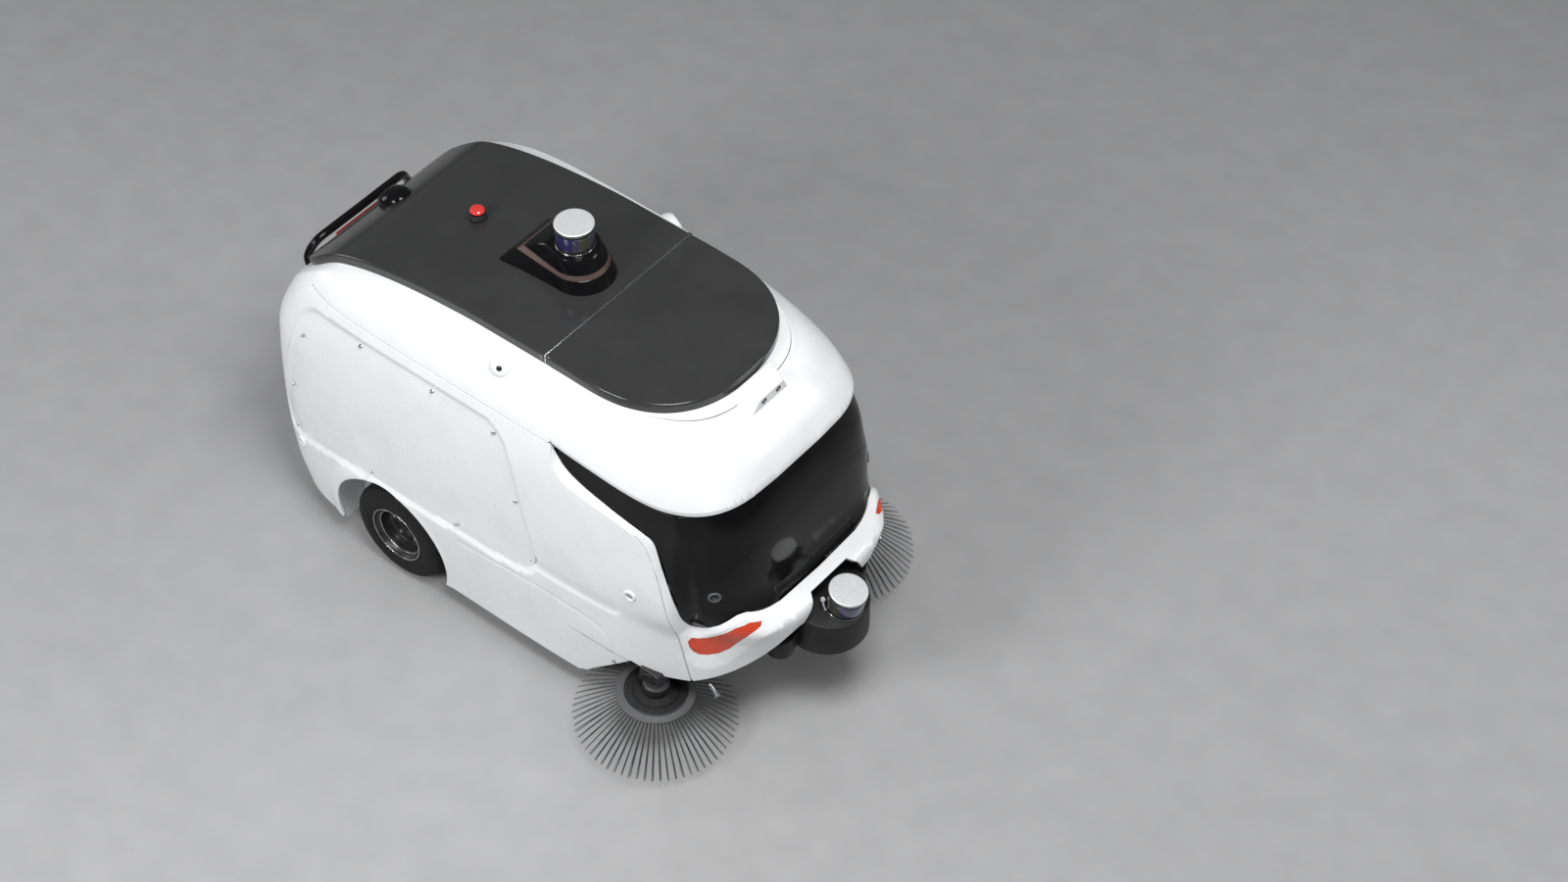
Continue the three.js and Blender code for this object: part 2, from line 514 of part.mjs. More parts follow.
function addSteering() {
  const { x, z, tyreRadius, tyreWidth } = FRONT_AXLE;
  const stem = 15;
  const legInner = tyreWidth / 2 + 5;
  const crown = 236;
  const fork = joined(
    post(stem, x, 0, crown + 10, 425),
    box(x - 26, x + 26, -legInner - 10, legInner + 10, crown, crown + 24),
    box(x - 18, x + 18, -legInner - 10, -legInner, z - 18, crown + 12),
    box(x - 18, x + 18, legInner, legInner + 10, z - 18, crown + 12),
    rod(8, x, z, -legInner - 14, legInner + 14));
  addPart('steering_fork', fork, 'steel');

  const wheel = new THREE.Group();
  wheel.position.set(x, -tyreWidth / 2, z);
  wheel.rotation.x = -Math.PI / 2;
  station.add(wheel);
  const bead = 62;
  addPart('front_tyre', turned(tyreProfile(tyreRadius, bead, tyreWidth)), 'rubber', wheel);
  const rim = bead - 1;
  addPart('front_rim', turned([[8 + GAP, -3], [20, -3], [24, 14], [rim - 6, 14], [rim - 6, 7], [rim, 7],
    [rim, tyreWidth - 7], [rim - 6, tyreWidth - 7], [rim - 6, tyreWidth - 14], [24, tyreWidth - 14],
    [20, tyreWidth + 3], [8 + GAP, tyreWidth + 3]], 20), 'blackPlastic', wheel);

  const { gearRadius, pinionRadius, thickness } = STEERING;
  const gearTeeth = 24;
  const pinionTeeth = 8;
  const pinionX = x + gearRadius + pinionRadius;
  const gear = toSolid(planPrism(gearOutline(gearTeeth, gearRadius, 0), 0, thickness));
  const gearBore = toSolid(post(stem + GAP, 0, 0, -10, thickness + 10));
  addPart('steering_gear', gear.subtract(gearBore), 'steel').position.set(x, 0, STEERING.z);
  const meshPhase = Math.PI / pinionTeeth + Math.PI;
  const pinion = toSolid(planPrism(gearOutline(pinionTeeth, pinionRadius, meshPhase), 0, thickness));
  const pinionBore = toSolid(post(6 + GAP, 0, 0, -10, thickness + 10));
  addPart('steering_pinion', pinion.subtract(pinionBore), 'steel').position.set(pinionX, 0, STEERING.z);
  const motorBottom = STEERING.z + thickness + 3;
  const barrel = post(28, pinionX, 0, motorBottom, motorBottom + 88);
  const motor = joined(barrel, post(6, pinionX, 0, 375, motorBottom + 5));
  addPart('steering_motor', motor, 'blackPlastic');
}

function addChassis() {
  const { y, width, bottom, top } = RAIL;
  const rails = SIDES.map(([, side]) => box(-760, 640, side * y - width / 2, side * y + width / 2, bottom, top));
  const members = [[-760, -720], [-665, -635], [-485, -455], [-215, -165], [180, 220],
    [FRONT_AXLE.x - 32, FRONT_AXLE.x + 32], [600, 640]];
  const crossMembers = members.map(([x0, x1]) => box(x0, x1, -y, y, bottom, top));
  const motorPlates = SIDES.map(([, side]) =>
    box(REAR_AXLE.x - 55, REAR_AXLE.x + 55, side * y - 12, side * y + 12, 88, bottom + 10));
  const rollerHangers = SIDES.map(([, side]) =>
    box(ROLLER_PIVOT.x - 26, ROLLER_PIVOT.x + 26, side * y - 12, side * y + 12, ROLLER_PIVOT.z - 24, bottom + 10));
  const brushHangers = SIDES.map(([, side]) =>
    box(BRUSH_PIVOT.x - 22, BRUSH_PIVOT.x + 22, side * y - 12, side * y + 12, BRUSH_PIVOT.z - 20, bottom + 10));
  const podTongue = box(600, 646, -60, 60, 300, bottom + 10);
  const frame = joined(...rails, ...crossMembers, ...motorPlates, ...rollerHangers, ...brushHangers, podTongue);
  const bores = [
    rod(13, REAR_AXLE.x, REAR_AXLE.z, -300, 300),
    rod(14 + GAP, ROLLER_PIVOT.x, ROLLER_PIVOT.z, -300, 300),
    rod(10 + GAP, BRUSH_PIVOT.x, BRUSH_PIVOT.z, -300, 300),
    post(15 + GAP, FRONT_AXLE.x, 0, 300, 400),
  ];
  addPart('chassis_frame', bores.map(toSolid).reduce((solid, bore) => solid.subtract(bore), frame), 'steel');
}

// Portal under the roof, tied by two side bars to the shelf that carries the control box.
function addUpperFrame() {
  const { y, top } = RAIL;
  const foot = top + GAP;
  const roofSupport = 930;
  const shelfFoot = SHELF_Z - 8;
  const towers = SIDES.map(([, side]) => box(-20, 20, side * y - 12, side * y + 12, foot, roofSupport));
  const towerBar = box(-20, 20, -y, y, roofSupport - 30, roofSupport);
  const sideBars = SIDES.map(([, side]) => box(10, 375, side * y - 12, side * y + 12, shelfFoot, SHELF_Z));
  const shelfBar = box(350, 375, -y, y, shelfFoot, SHELF_Z);
  const shelf = box(350, 625, -130, 130, shelfFoot, SHELF_Z);
  const shelfPosts = SIDES.flatMap(([, side]) =>
    [360, 615].map((x) => box(x - 10, x + 10, side * 110 - 10, side * 110 + 10, foot, SHELF_Z - 4)));
  addPart('upper_frame', joined(...towers, towerBar, ...sideBars, shelfBar, shelf, ...shelfPosts), 'steel');
}

// ---- sweeping gear --------------------------------------------------------------------------
const TUFTS = 36;  // bristle tufts on a side brush

// Ring of bristle tufts about Z, each fanning out from its root to its tip.
function tuftRing(rootRadius, rootHeight, tipRadius, tipHeight) {
  const rootWidth = 6;
  const tipWidth = 14;
  const thickness = 4;
  const length = Math.hypot(tipRadius - rootRadius, rootHeight - tipHeight) - thickness / 2;
  const slope = Math.atan2(rootHeight - tipHeight, tipRadius - rootRadius);
  const tuft = planPrism([[0, -rootWidth / 2], [length, -tipWidth / 2], [length, tipWidth / 2], [0, rootWidth / 2]],
    -thickness / 2, thickness / 2);
  tuft.rotateY(slope).translate(rootRadius, 0, rootHeight);
  return Array.from({ length: TUFTS }, (_, i) => tuft.clone().rotateZ((i + 0.5) * (2 * Math.PI / TUFTS)));
}

function addSideBrushes() {
  const { x, y, tipRadius, discRadius, tipPlane, discPlane } = BRUSH;
  SIDES.forEach(([label, side]) => {
    const brush = new THREE.Group();
    brush.position.set(x, side * y, tipPlane);
    brush.rotation.set(-side * BRUSH_TILT.outward, BRUSH_TILT.forward, 0);
    station.add(brush);
    const disc = discPlane - tipPlane;
    addPart(`brush_disc_${label}`, turned([[0, disc - 6], [discRadius, disc - 6], [discRadius, disc + 4],
      [discRadius - 22, disc + 9], [30, disc + 9], [26, disc + 14], [0, disc + 14]]), 'blackPlastic', brush);
    const root = disc - 6 - GAP;
    const ring = turned([[78, root - 8], [discRadius - 4, root - 8], [discRadius - 4, root], [78, root]], 18);
    const tufts = tuftRing(discRadius - 12, root - 5, tipRadius, 2);
    addPart(`brush_bristles_${label}`, joined(ring, ...tufts), 'bristle', brush);
    const motorBottom = disc + 14 + GAP;
    addPart(`brush_motor_${label}`, turned([[0, motorBottom], [34, motorBottom], [36, motorBottom + 4],
      [36, motorBottom + 26], [30, motorBottom + 30], [0, motorBottom + 30]], 32), 'blackPlastic', brush);
    const inner = y - 78;
    const plate = planPrism([[x + 30, side * (inner - 6)], [x + 30, side * (inner + 30)],
      [x - 20, side * (inner + 30)],
      [BRUSH_PIVOT.x - 16, side * 290], [BRUSH_PIVOT.x - 16, side * 268], [x - 40, side * 268]], 176, 188);
    const lug = box(BRUSH_PIVOT.x - 16, BRUSH_PIVOT.x + 16, Math.min(side * 268, side * 290),
      Math.max(side * 268, side * 290), 176, BRUSH_PIVOT.z + 14);
    const pin = rod(10, BRUSH_PIVOT.x, BRUSH_PIVOT.z, Math.min(side * 232, side * 280),
      Math.max(side * 232, side * 280));
    const clearMotor = post(42, x + 9, side * (y + 2), 100, 260);
    addPart(`brush_arm_${label}`, joined(plate, lug, pin).subtract(toSolid(clearMotor)), 'blackPlastic');
  });
}

// Roller sleeve: rows of bristles that run round the tube in a shallow chevron.
function rollerSleeve(bore, radius, halfLength) {
  const rows = 8;
  const backing = bore + 7;
  const rowWidth = 0.13;       // half angle of a row, in radians
  const twist = 0.55;          // how far a row runs round from the middle to the end, in radians
  const levels = [-1, -2 / 3, -1 / 3, 0, 1 / 3, 2 / 3, 1];
  const layers = levels.map((level) => {
    const outline = [];
    for (let i = 0; i < rows; i += 1) {
      const angle = (i / rows) * 2 * Math.PI + Math.abs(level) * twist;
      [[-rowWidth, backing], [-rowWidth * 0.8, radius], [rowWidth * 0.8, radius], [rowWidth, backing],
        [Math.PI / rows, backing]].forEach(([turn, r]) => {
        outline.push([r * Math.cos(angle + turn), r * Math.sin(angle + turn)]);
      });
    }
    return { outline, height: level * halfLength };
  });
  const hole = toSolid(post(bore, 0, 0, -halfLength - 5, halfLength + 5, 32));
  const sleeve = toSolid(stackedSolid(layers)).subtract(hole);
  return alongY(toGeometry(sleeve));
}

function addRoller() {
  const { x, z, radius, halfLength } = ROLLER;
  const tubeRadius = 60;
  const plateInner = 292;
  const plateOuter = 300;
  const shaft = 12;
  const tubeEnd = halfLength + 20;
  const barrel = alongY(turned([[52, -tubeEnd], [tubeRadius, -tubeEnd], [tubeRadius, tubeEnd], [52, tubeEnd]], 32));
  const spokes = [-1, 1].flatMap((end) => {
    const near = end * (tubeEnd - 20) - 10;
    return [box(-56, 56, near, near + 20, -10, 10), box(-10, 10, near, near + 20, -56, 56)];
  });
  const core = joined(barrel, rod(shaft, 0, 0, -298, 298), ...spokes);
  addPart('roller_core', core, 'silver').position.set(x, 0, z);
  addPart('roller_bristles', rollerSleeve(tubeRadius + GAP, radius, halfLength), 'bristle').position.set(x, 0, z);
  const cheek = [[x - 26, z - 22], [x + 26, z - 22], [x + 30, z + 20], [ROLLER_PIVOT.x + 22, ROLLER_PIVOT.z + 20],
    [ROLLER_PIVOT.x - 22, ROLLER_PIVOT.z + 20], [ROLLER_PIVOT.x - 26, ROLLER_PIVOT.z - 22]];
  const arm = joined(sidePrism(cheek, plateInner, plateOuter), sidePrism(cheek, -plateOuter, -plateInner),
    rod(14, ROLLER_PIVOT.x, ROLLER_PIVOT.z, -plateOuter, plateOuter));
  addPart('roller_arm', arm.subtract(toSolid(rod(shaft + GAP, x, z, -400, 400))), 'steel');
  addPart('roller_motor', rod(38, x, z, plateOuter + GAP, 384, 28), 'blackPlastic');
}

function addInsides() {
  const wall = 4;
  const { rear, front, half, bottom, top } = HOPPER;
  const ties = SIDES.map(([, side]) => box(TIE_END, rear + wall, side * 150 - 12, side * 150 + 12, 190, 260));
  const bin = joined(box(rear, front, -half, half, bottom, top), ...ties);
  const hollow = toSolid(box(rear + wall, front - wall, -half + wall, half - wall, bottom + wall, top + 80));
  const inlet = toSolid(box(front - 12, front + 48, -half + 30, half - 30, 240, top + 80));
  addPart('hopper_bin', bin.subtract(hollow).subtract(inlet), 'tank');
  addPart('battery_pack', box(-330, -50, -190, 190, RAIL.top + GAP, 540), 'blackPlastic');
  addPart('water_tank', box(40, 310, -210, 210, RAIL.top + GAP, 640), 'tank');
  addPart('control_box', box(370, 590, -140, 140, SHELF_Z + GAP, 650), 'steel');
  const fan = { x: -560, bottom: RAIL.top + GAP, radius: 115, height: 110 };
  const housing = turned([[40, 0], [fan.radius, 0], [fan.radius, fan.height], [40, fan.height],
    [40, fan.height - 5], [fan.radius - 5, fan.height - 5], [fan.radius - 5, 5], [40, 5]], 28);
  const hubTop = fan.height - 14;
  const impeller = turned([[0, 12], [96, 12], [96, 20], [30, 60], [24, hubTop], [0, hubTop]], 28);
  addPart('fan_housing', moved(housing, fan.x, 0, fan.bottom), 'blackPlastic');
  addPart('fan_impeller', moved(impeller, fan.x, 0, fan.bottom), 'blackPlastic');
}

addBody();
addLidarFairing();
addLidars();
addFrontPod();
addCamerasAndControls();
addChassis();
addUpperFrame();
addRearWheels();
addSteering();
addSideBrushes();
addRoller();
addInsides();

export default group;
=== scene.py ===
"""Looks of the robotic floor cleaner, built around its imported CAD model.

Shapes are written in the CAD program's station frame, in millimetres, and are moved to the row frame in
metres when a mesh is made. The right side of the body has negative y.
"""
import math

import bmesh
import bpy
import numpy as np
from mathutils import Matrix, Vector
from mathutils.geometry import delaunay_2d_cdt


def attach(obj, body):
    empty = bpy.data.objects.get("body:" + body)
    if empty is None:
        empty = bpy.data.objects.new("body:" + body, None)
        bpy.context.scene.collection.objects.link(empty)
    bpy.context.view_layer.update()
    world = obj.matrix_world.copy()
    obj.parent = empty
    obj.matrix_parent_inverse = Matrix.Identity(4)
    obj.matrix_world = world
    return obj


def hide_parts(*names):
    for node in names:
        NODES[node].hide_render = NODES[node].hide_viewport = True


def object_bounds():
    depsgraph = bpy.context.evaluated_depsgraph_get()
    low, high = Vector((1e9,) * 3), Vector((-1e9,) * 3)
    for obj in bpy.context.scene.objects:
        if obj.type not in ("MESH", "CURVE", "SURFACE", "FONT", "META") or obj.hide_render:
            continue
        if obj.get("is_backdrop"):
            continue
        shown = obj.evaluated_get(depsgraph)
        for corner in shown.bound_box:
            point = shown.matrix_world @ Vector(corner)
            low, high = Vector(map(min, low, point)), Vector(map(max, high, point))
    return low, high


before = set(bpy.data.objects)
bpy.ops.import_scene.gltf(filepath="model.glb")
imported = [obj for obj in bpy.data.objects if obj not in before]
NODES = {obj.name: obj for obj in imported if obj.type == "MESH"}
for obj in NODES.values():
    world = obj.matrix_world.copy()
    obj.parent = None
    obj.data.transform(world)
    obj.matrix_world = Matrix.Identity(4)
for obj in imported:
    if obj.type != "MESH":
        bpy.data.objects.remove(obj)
cad_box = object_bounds()

SHIFT = np.array([9.7, 0.0, 0.0])   # station frame to row frame, in mm
ROOT = "body"
SIDES = (("right", -1), ("left", 1))
MIRROR = np.array([1.0, -1.0, 1.0])
UP = (0, 0, 1)
LIDAR_TILT = math.radians(10.5)     # of the front lidar and the top of its pod
ROOF_LIDAR = (-56, 0, 1133)
FRONT_LIDAR = (812, 0, 380)
POD_X = 757                         # axis of the front pod
REAR_AXLE = (-395, 149)             # x and z
REAR_TRACK_HALF = 328
BRUSH_HUB = (486.0, 373, 46.0)      # on a side brush's axis, level with the tips of its bristles
ESTOP_X = -395.0
ROOF_SEAM = (83.4, 86.6)            # rear and front edge of the seam between the roof's two pieces
ROOF_HALF = 280                     # half the roof's width
ROOF_TAIL = -792
ROOF_NOSE = 215                     # where the roof's rounded front begins
LINE_STEP = 7.0                     # spacing of points along a panel's outline

# ---- materials --------------------------------------------------------------------------------


def new_material(name, **sockets):
    """A principled material. Values that are the same all over are set on the shader's own sockets."""
    material = bpy.data.materials.new(name)
    material.use_nodes = True
    shader = material.node_tree.nodes["Principled BSDF"]
    for key, value in sockets.items():
        shader.inputs[key.replace("_", " ").title().replace("Ior", "IOR")].default_value = value
    return material, shader


def add_node(material, kind, **settings):
    """A shader node; settings are input values or properties of the node."""
    node = material.node_tree.nodes.new(kind)
    for key, value in settings.items():
        if key in node.inputs.keys():
            node.inputs[key].default_value = value
        else:
            setattr(node, key, value)
    return node


def join(material, source, target):
    material.node_tree.links.new(source, target)


def noise_of(material, scale, detail=3.0, stretch=None):
    """Output of a noise over the object, stretched along its axes if asked."""
    coordinates = add_node(material, "ShaderNodeTexCoord").outputs["Object"]
    if stretch:
        mapping = add_node(material, "ShaderNodeMapping")
        mapping.inputs["Scale"].default_value = stretch
        join(material, coordinates, mapping.inputs["Vector"])
        coordinates = mapping.outputs["Vector"]
    noise = add_node(material, "ShaderNodeTexNoise", Scale=scale, Detail=detail)
    join(material, coordinates, noise.inputs["Vector"])
    return noise.outputs["Fac"]


def ramp_of(material, value, stops):
    ramp = add_node(material, "ShaderNodeValToRGB")
    elements = ramp.color_ramp.elements
    while len(elements) < len(stops):
        elements.new(0.5)
    for element, (place, colour) in zip(elements, stops):
        element.position = place
        element.color = (*colour, 1)
    join(material, value, ramp.inputs["Fac"])
    return ramp.outputs["Color"]


def range_of(material, value, low, high):
    mapped = add_node(material, "ShaderNodeMapRange")
    mapped.inputs["To Min"].default_value = low
    mapped.inputs["To Max"].default_value = high
    join(material, value, mapped.inputs["Value"])
    return mapped.outputs["Result"]


def bump_of(material, shader, value, strength, distance):
    bump = add_node(material, "ShaderNodeBump", Strength=strength, Distance=distance)
    join(material, value, bump.inputs["Height"])
    join(material, bump.outputs["Normal"], shader.inputs["Normal"])


def grained(name, dark, light, rough, bump=(0.15, 0.0003, 900), patch=9.0, stretch=None, **sockets):
    """Colour drifting between two shades, roughness between two limits, and a fine surface grain."""
    material, shader = new_material(name, **sockets)
    drift = noise_of(material, patch, 4)
    join(material, ramp_of(material, drift, ((0.3, dark), (0.7, light))), shader.inputs["Base Color"])
    join(material, range_of(material, noise_of(material, patch * 7, 5), *rough), shader.inputs["Roughness"])
    strength, distance, scale = bump
    bump_of(material, shader, noise_of(material, scale, 2, stretch), strength, distance)
    return material


def celled(name, line, fill, rough, cell, **sockets):
    """A fine moulded net: offset cells with thin lines between them, as in a reflector."""
    material, shader = new_material(name, **sockets)
    brick = add_node(material, "ShaderNodeTexBrick", Scale=1.0, offset=0.5)
    brick.inputs["Color1"].default_value = (*fill, 1)
    brick.inputs["Color2"].default_value = (*[c * 0.85 for c in fill], 1)
    brick.inputs["Mortar"].default_value = (*line, 1)
    brick.inputs["Mortar Size"].default_value = cell * 0.11
    brick.inputs["Mortar Smooth"].default_value = 0.3
    brick.inputs["Brick Width"].default_value = cell
    brick.inputs["Row Height"].default_value = cell * 0.75
    coordinates = add_node(material, "ShaderNodeTexCoord").outputs["Object"]
    split = add_node(material, "ShaderNodeSeparateXYZ")
    join(material, coordinates, split.inputs["Vector"])
    along = add_node(material, "ShaderNodeMath", operation="ADD")
    join(material, split.outputs["X"], along.inputs[0])
    join(material, split.outputs["Y"], along.inputs[1])
    merged = add_node(material, "ShaderNodeCombineXYZ")
    join(material, along.outputs["Value"], merged.inputs["X"])
    join(material, split.outputs["Z"], merged.inputs["Y"])
    join(material, merged.outputs["Vector"], brick.inputs["Vector"])
    join(material, brick.outputs["Color"], shader.inputs["Base Color"])
    join(material, range_of(material, noise_of(material, 60), *rough), shader.inputs["Roughness"])
    bump_of(material, shader, brick.outputs["Fac"], 0.5, -0.0006)
    return material


WHITE = grained("white_gloss", (0.80, 0.805, 0.81), (0.86, 0.865, 0.87), (0.24, 0.34), (0.04, 0.0002, 700),
                coat_weight=0.25, coat_roughness=0.12)
ROOF = grained("roof_gloss", (0.030, 0.0302, 0.0308), (0.036, 0.0362, 0.037), (0.12, 0.17),
               (0.015, 0.0002, 900), specular_ior_level=0.42)
BLACK = grained("black_gloss", (0.0035, 0.0035, 0.004), (0.006, 0.006, 0.0066), (0.08, 0.13),
                (0.015, 0.0002, 900), specular_ior_level=0.2)
SATIN = grained("black_satin", (0.006, 0.006, 0.0065), (0.014, 0.014, 0.015), (0.4, 0.55),
                (0.25, 0.0003, 1400), specular_ior_level=0.35)
RUBBER = grained("tyre_rubber", (0.005, 0.005, 0.005), (0.010, 0.0098, 0.0098), (0.62, 0.8),
                 (0.3, 0.0004, 1100), specular_ior_level=0.3)
CAP = grained("bead_blasted_cap", (0.70, 0.71, 0.72), (0.86, 0.86, 0.87), (0.32, 0.5), (0.5, 0.0004, 2600),
              patch=180.0, metallic=0.45)
CHROME = grained("silver_trim", (0.62, 0.63, 0.64), (0.75, 0.75, 0.76), (0.12, 0.25),
                 (0.1, 0.0002, 900), metallic=1.0)
STEEL = grained("brushed_steel", (0.30, 0.31, 0.32), (0.46, 0.47, 0.49), (0.3, 0.5), (0.25, 0.0003, 260),
                stretch=(1, 14, 14), metallic=0.9)
FRAME_METAL = grained("frame_aluminium", (0.16, 0.165, 0.17), (0.25, 0.255, 0.26), (0.38, 0.55),
                      (0.2, 0.0003, 320), stretch=(1, 9, 9), metallic=0.85)
MOTOR = grained("motor_paint", (0.010, 0.010, 0.011), (0.02, 0.02, 0.022), (0.35, 0.55), (0.35, 0.0004, 500))
RED = grained("button_red", (0.55, 0.03, 0.025), (0.68, 0.05, 0.04), (0.14, 0.22), (0.03, 0.0002, 900),
              coat_weight=0.6, coat_roughness=0.08)
BRISTLE = grained("bristle", (0.016, 0.016, 0.017), (0.045, 0.045, 0.047), (0.5, 0.75),
                  (0.3, 0.0004, 800), patch=90.0)
TANK = grained("moulded_tank", (0.30, 0.32, 0.33), (0.38, 0.40, 0.41), (0.42, 0.6), (0.3, 0.0005, 420))
# Grey ring of the brush discs; on the windshield sensors this lighter grey is a painted highlight on their
# eye rings
RING_GREY_AND_SENSOR_HIGHLIGHT = grained("brush_ring_and_sensor_highlight", (0.055, 0.056, 0.058), (0.085, 0.086, 0.088), (0.45, 0.6),
                    (0.3, 0.0003, 900))
LENS = grained("lens_glass", (0.002, 0.002, 0.004), (0.006, 0.006, 0.012), (0.03, 0.07), (0.0, 0.0001, 900),
               coat_weight=1.0, coat_roughness=0.02)
REFLECTOR = celled("orange_reflector", (0.34, 0.018, 0.006), (0.86, 0.075, 0.014), (0.18, 0.3), 0.0085,
                   coat_weight=0.5, coat_roughness=0.1)
BAND = celled("fairing_band", (0.030, 0.022, 0.020), (0.20, 0.135, 0.12), (0.25, 0.4), 0.0065, metallic=0.4)
TAIL_LAMP = celled("tail_lamp", (0.16, 0.005, 0.004), (0.5, 0.015, 0.01), (0.15, 0.25), 0.008,
                   coat_weight=0.6, coat_roughness=0.08)
# Darker copy of the white panel plastic: painted shade on the inside of the wheel arches
SHADED_LINER = grained("arch_liner_painted_shade", (0.60, 0.605, 0.61), (0.68, 0.685, 0.69), (0.45, 0.6),
                (0.2, 0.0003, 700))
WHEEL_PAINT = grained("wheel_paint", (0.010, 0.010, 0.011), (0.022, 0.022, 0.023), (0.28, 0.4),
                      (0.1, 0.0002, 900))


def sensor_window_material():
    """Dark infrared window with faint blue and yellow sheens, as a lidar's window shows; the sheens are
    painted reflection in its colour.
    """
    material, shader = new_material("lidar_window", coat_weight=1.0, coat_roughness=0.03)
    # Painted reflection: bands of blue and yellow sheen in the base colour
    sheen_bands = noise_of(material, 26.0, 2, (1, 1, 0.15))
    colours = ((0.28, (0.008, 0.007, 0.03)), (0.42, (0.028, 0.026, 0.10)), (0.52, (0.05, 0.05, 0.055)),
               (0.6, (0.06, 0.06, 0.035)), (0.72, (0.012, 0.011, 0.04)))
    join(material, ramp_of(material, sheen_bands, colours), shader.inputs["Base Color"])
    join(material, range_of(material, noise_of(material, 90.0), 0.05, 0.14), shader.inputs["Roughness"])
    return material


WINDOW = sensor_window_material()

# ---- mesh helpers -----------------------------------------------------------------------------


def unit(vectors):
    length = np.linalg.norm(vectors, axis=-1, keepdims=True)
    return vectors / np.where(length < 1e-12, 1, length)


def add_mesh(name, points, faces, material, body=ROOT, normals=None, replaces=(), slot=None, sharp=38.0):
    """Makes a smooth-shaded piece from station-frame points, in mm, and puts it on a body."""
    mesh = bpy.data.meshes.new(name)
    placed = (np.asarray(points, float) + SHIFT) / 1000
    mesh.from_pydata(placed.tolist(), [], [list(map(int, face)) for face in faces])
    mesh.update()
    mesh.polygons.foreach_set("use_smooth", [True] * len(mesh.polygons))
    if normals is None:
        mesh.set_sharp_from_angle(angle=math.radians(sharp))
    else:
        mesh.normals_split_custom_set_from_vertices(np.asarray(normals, float).tolist())
    materials = material if isinstance(material, (list, tuple)) else [material]
    for one in materials:
        mesh.materials.append(one)
    piece = bpy.data.objects.new(name, mesh)
    bpy.context.scene.collection.objects.link(piece)
    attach(piece, body)
    if replaces:
        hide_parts(*replaces)
    return piece


class Build:
    """Collects points and faces of one piece."""

    def __init__(self):
        self.points = []
        self.faces = []
        self.tags = []

    def add(self, points, faces, tag=0):
        start = len(self.points)
        self.points.extend(np.asarray(points, float).tolist())
        self.faces.extend([[start + i for i in face] for face in faces])
        self.tags.extend([tag] * len(faces))
        return self

    def turned(self, profile, sides, radius, axis=UP, at=(0, 0, 0), tag=0, closed=False):
        """Adds a solid of revolution about an axis through a point."""
        points, faces = lathe(profile, sides, radius, closed)
        return self.add(turned_to(axis, points, at), oriented(points, faces), tag)

    def tag_faces(self, tag_of):
        """Sets each face's material number from its corners."""
        self.tags = [tag_of(np.array([self.points[i] for i in face])) for face in self.faces]

    def piece(self, name, material, body=ROOT, **options):
        piece = add_mesh(name, self.points, self.faces, material, body, **options)
        if any(self.tags):
            piece.data.polygons.foreach_set("material_index", self.tags)
        return piece


def stack(rings, loop=False):
    """Faces between closed rings of equal point counts, with flat caps or closed into a loop."""
    rings = [np.asarray(ring, float) for ring in rings]
    count = len(rings[0])
    points = np.concatenate(rings)
    faces = []
    last = len(rings) if loop else len(rings) - 1
    for k in range(last):
        a, b = k * count, ((k + 1) % len(rings)) * count
        for i in range(count):
            j = (i + 1) % count
            faces.append([a + i, a + j, b + j, b + i])
    if not loop:
        faces.append(list(range(count))[::-1])
        faces.append([(len(rings) - 1) * count + i for i in range(count)])
    return points, faces


def filleted(profile, radius=1.2, steps=3):
    """Rounds the corners of an open [radius, height] profile."""
    points = [np.array(p, float) for p in profile]
    out = [points[0]]
    for before, corner, after in zip(points, points[1:], points[2:]):
        a, b = before - corner, after - corner
        la, lb = np.linalg.norm(a), np.linalg.norm(b)
        reach = min(radius, 0.45 * la, 0.45 * lb)
        start, end = corner + a / la * reach, corner + b / lb * reach
        for t in np.linspace(0, 1, steps + 1):
            out.append((1 - t) ** 2 * start + 2 * t * (1 - t) * corner + t ** 2 * end)
    out.append(points[-1])
    return out


def lathe(profile, sides=72, radius=1.2, closed=False):
    """Solid of revolution about Z. An open profile starts and ends on the axis; a closed one is a ring."""
    if closed:
        shape = filleted([*profile, profile[0], profile[1]], radius)[1:-1]
    else:
        shape = filleted(profile, radius)
    turn = np.linspace(0, 2 * math.pi, sides, endpoint=False)
    circle = np.stack([np.cos(turn), np.sin(turn)], 1)
    rings = [np.column_stack([circle * max(r, 0.02), np.full(sides, h)]) for r, h in shape]
    return stack(rings, loop=closed)


def turned_to(axis, points, origin=(0, 0, 0)):
    """Turns points so that their Z lies along an axis, and moves them."""
    turn = Vector((0, 0, 1)).rotation_difference(Vector(axis)).to_matrix()
    return np.asarray(points) @ np.array(turn).T + np.asarray(origin, float)


def block(x0, x1, y0, y1, z0, z1, chamfer=1.5):
    """A box with chamfered edges."""
    c = min(chamfer, (x1 - x0) / 3, (y1 - y0) / 3, (z1 - z0) / 3)

    def ring(inset, z):
        a, b, p, q = x0 + inset, x1 - inset, y0 + inset, y1 - inset
        return [(a + c, p, z), (b - c, p, z), (b, p + c, z), (b, q - c, z), (b - c, q, z), (a + c, q, z),
                (a, q - c, z), (a, p + c, z)]
    return stack([ring(c, z0), ring(0, z0 + c), ring(0, z1 - c), ring(c, z1)])


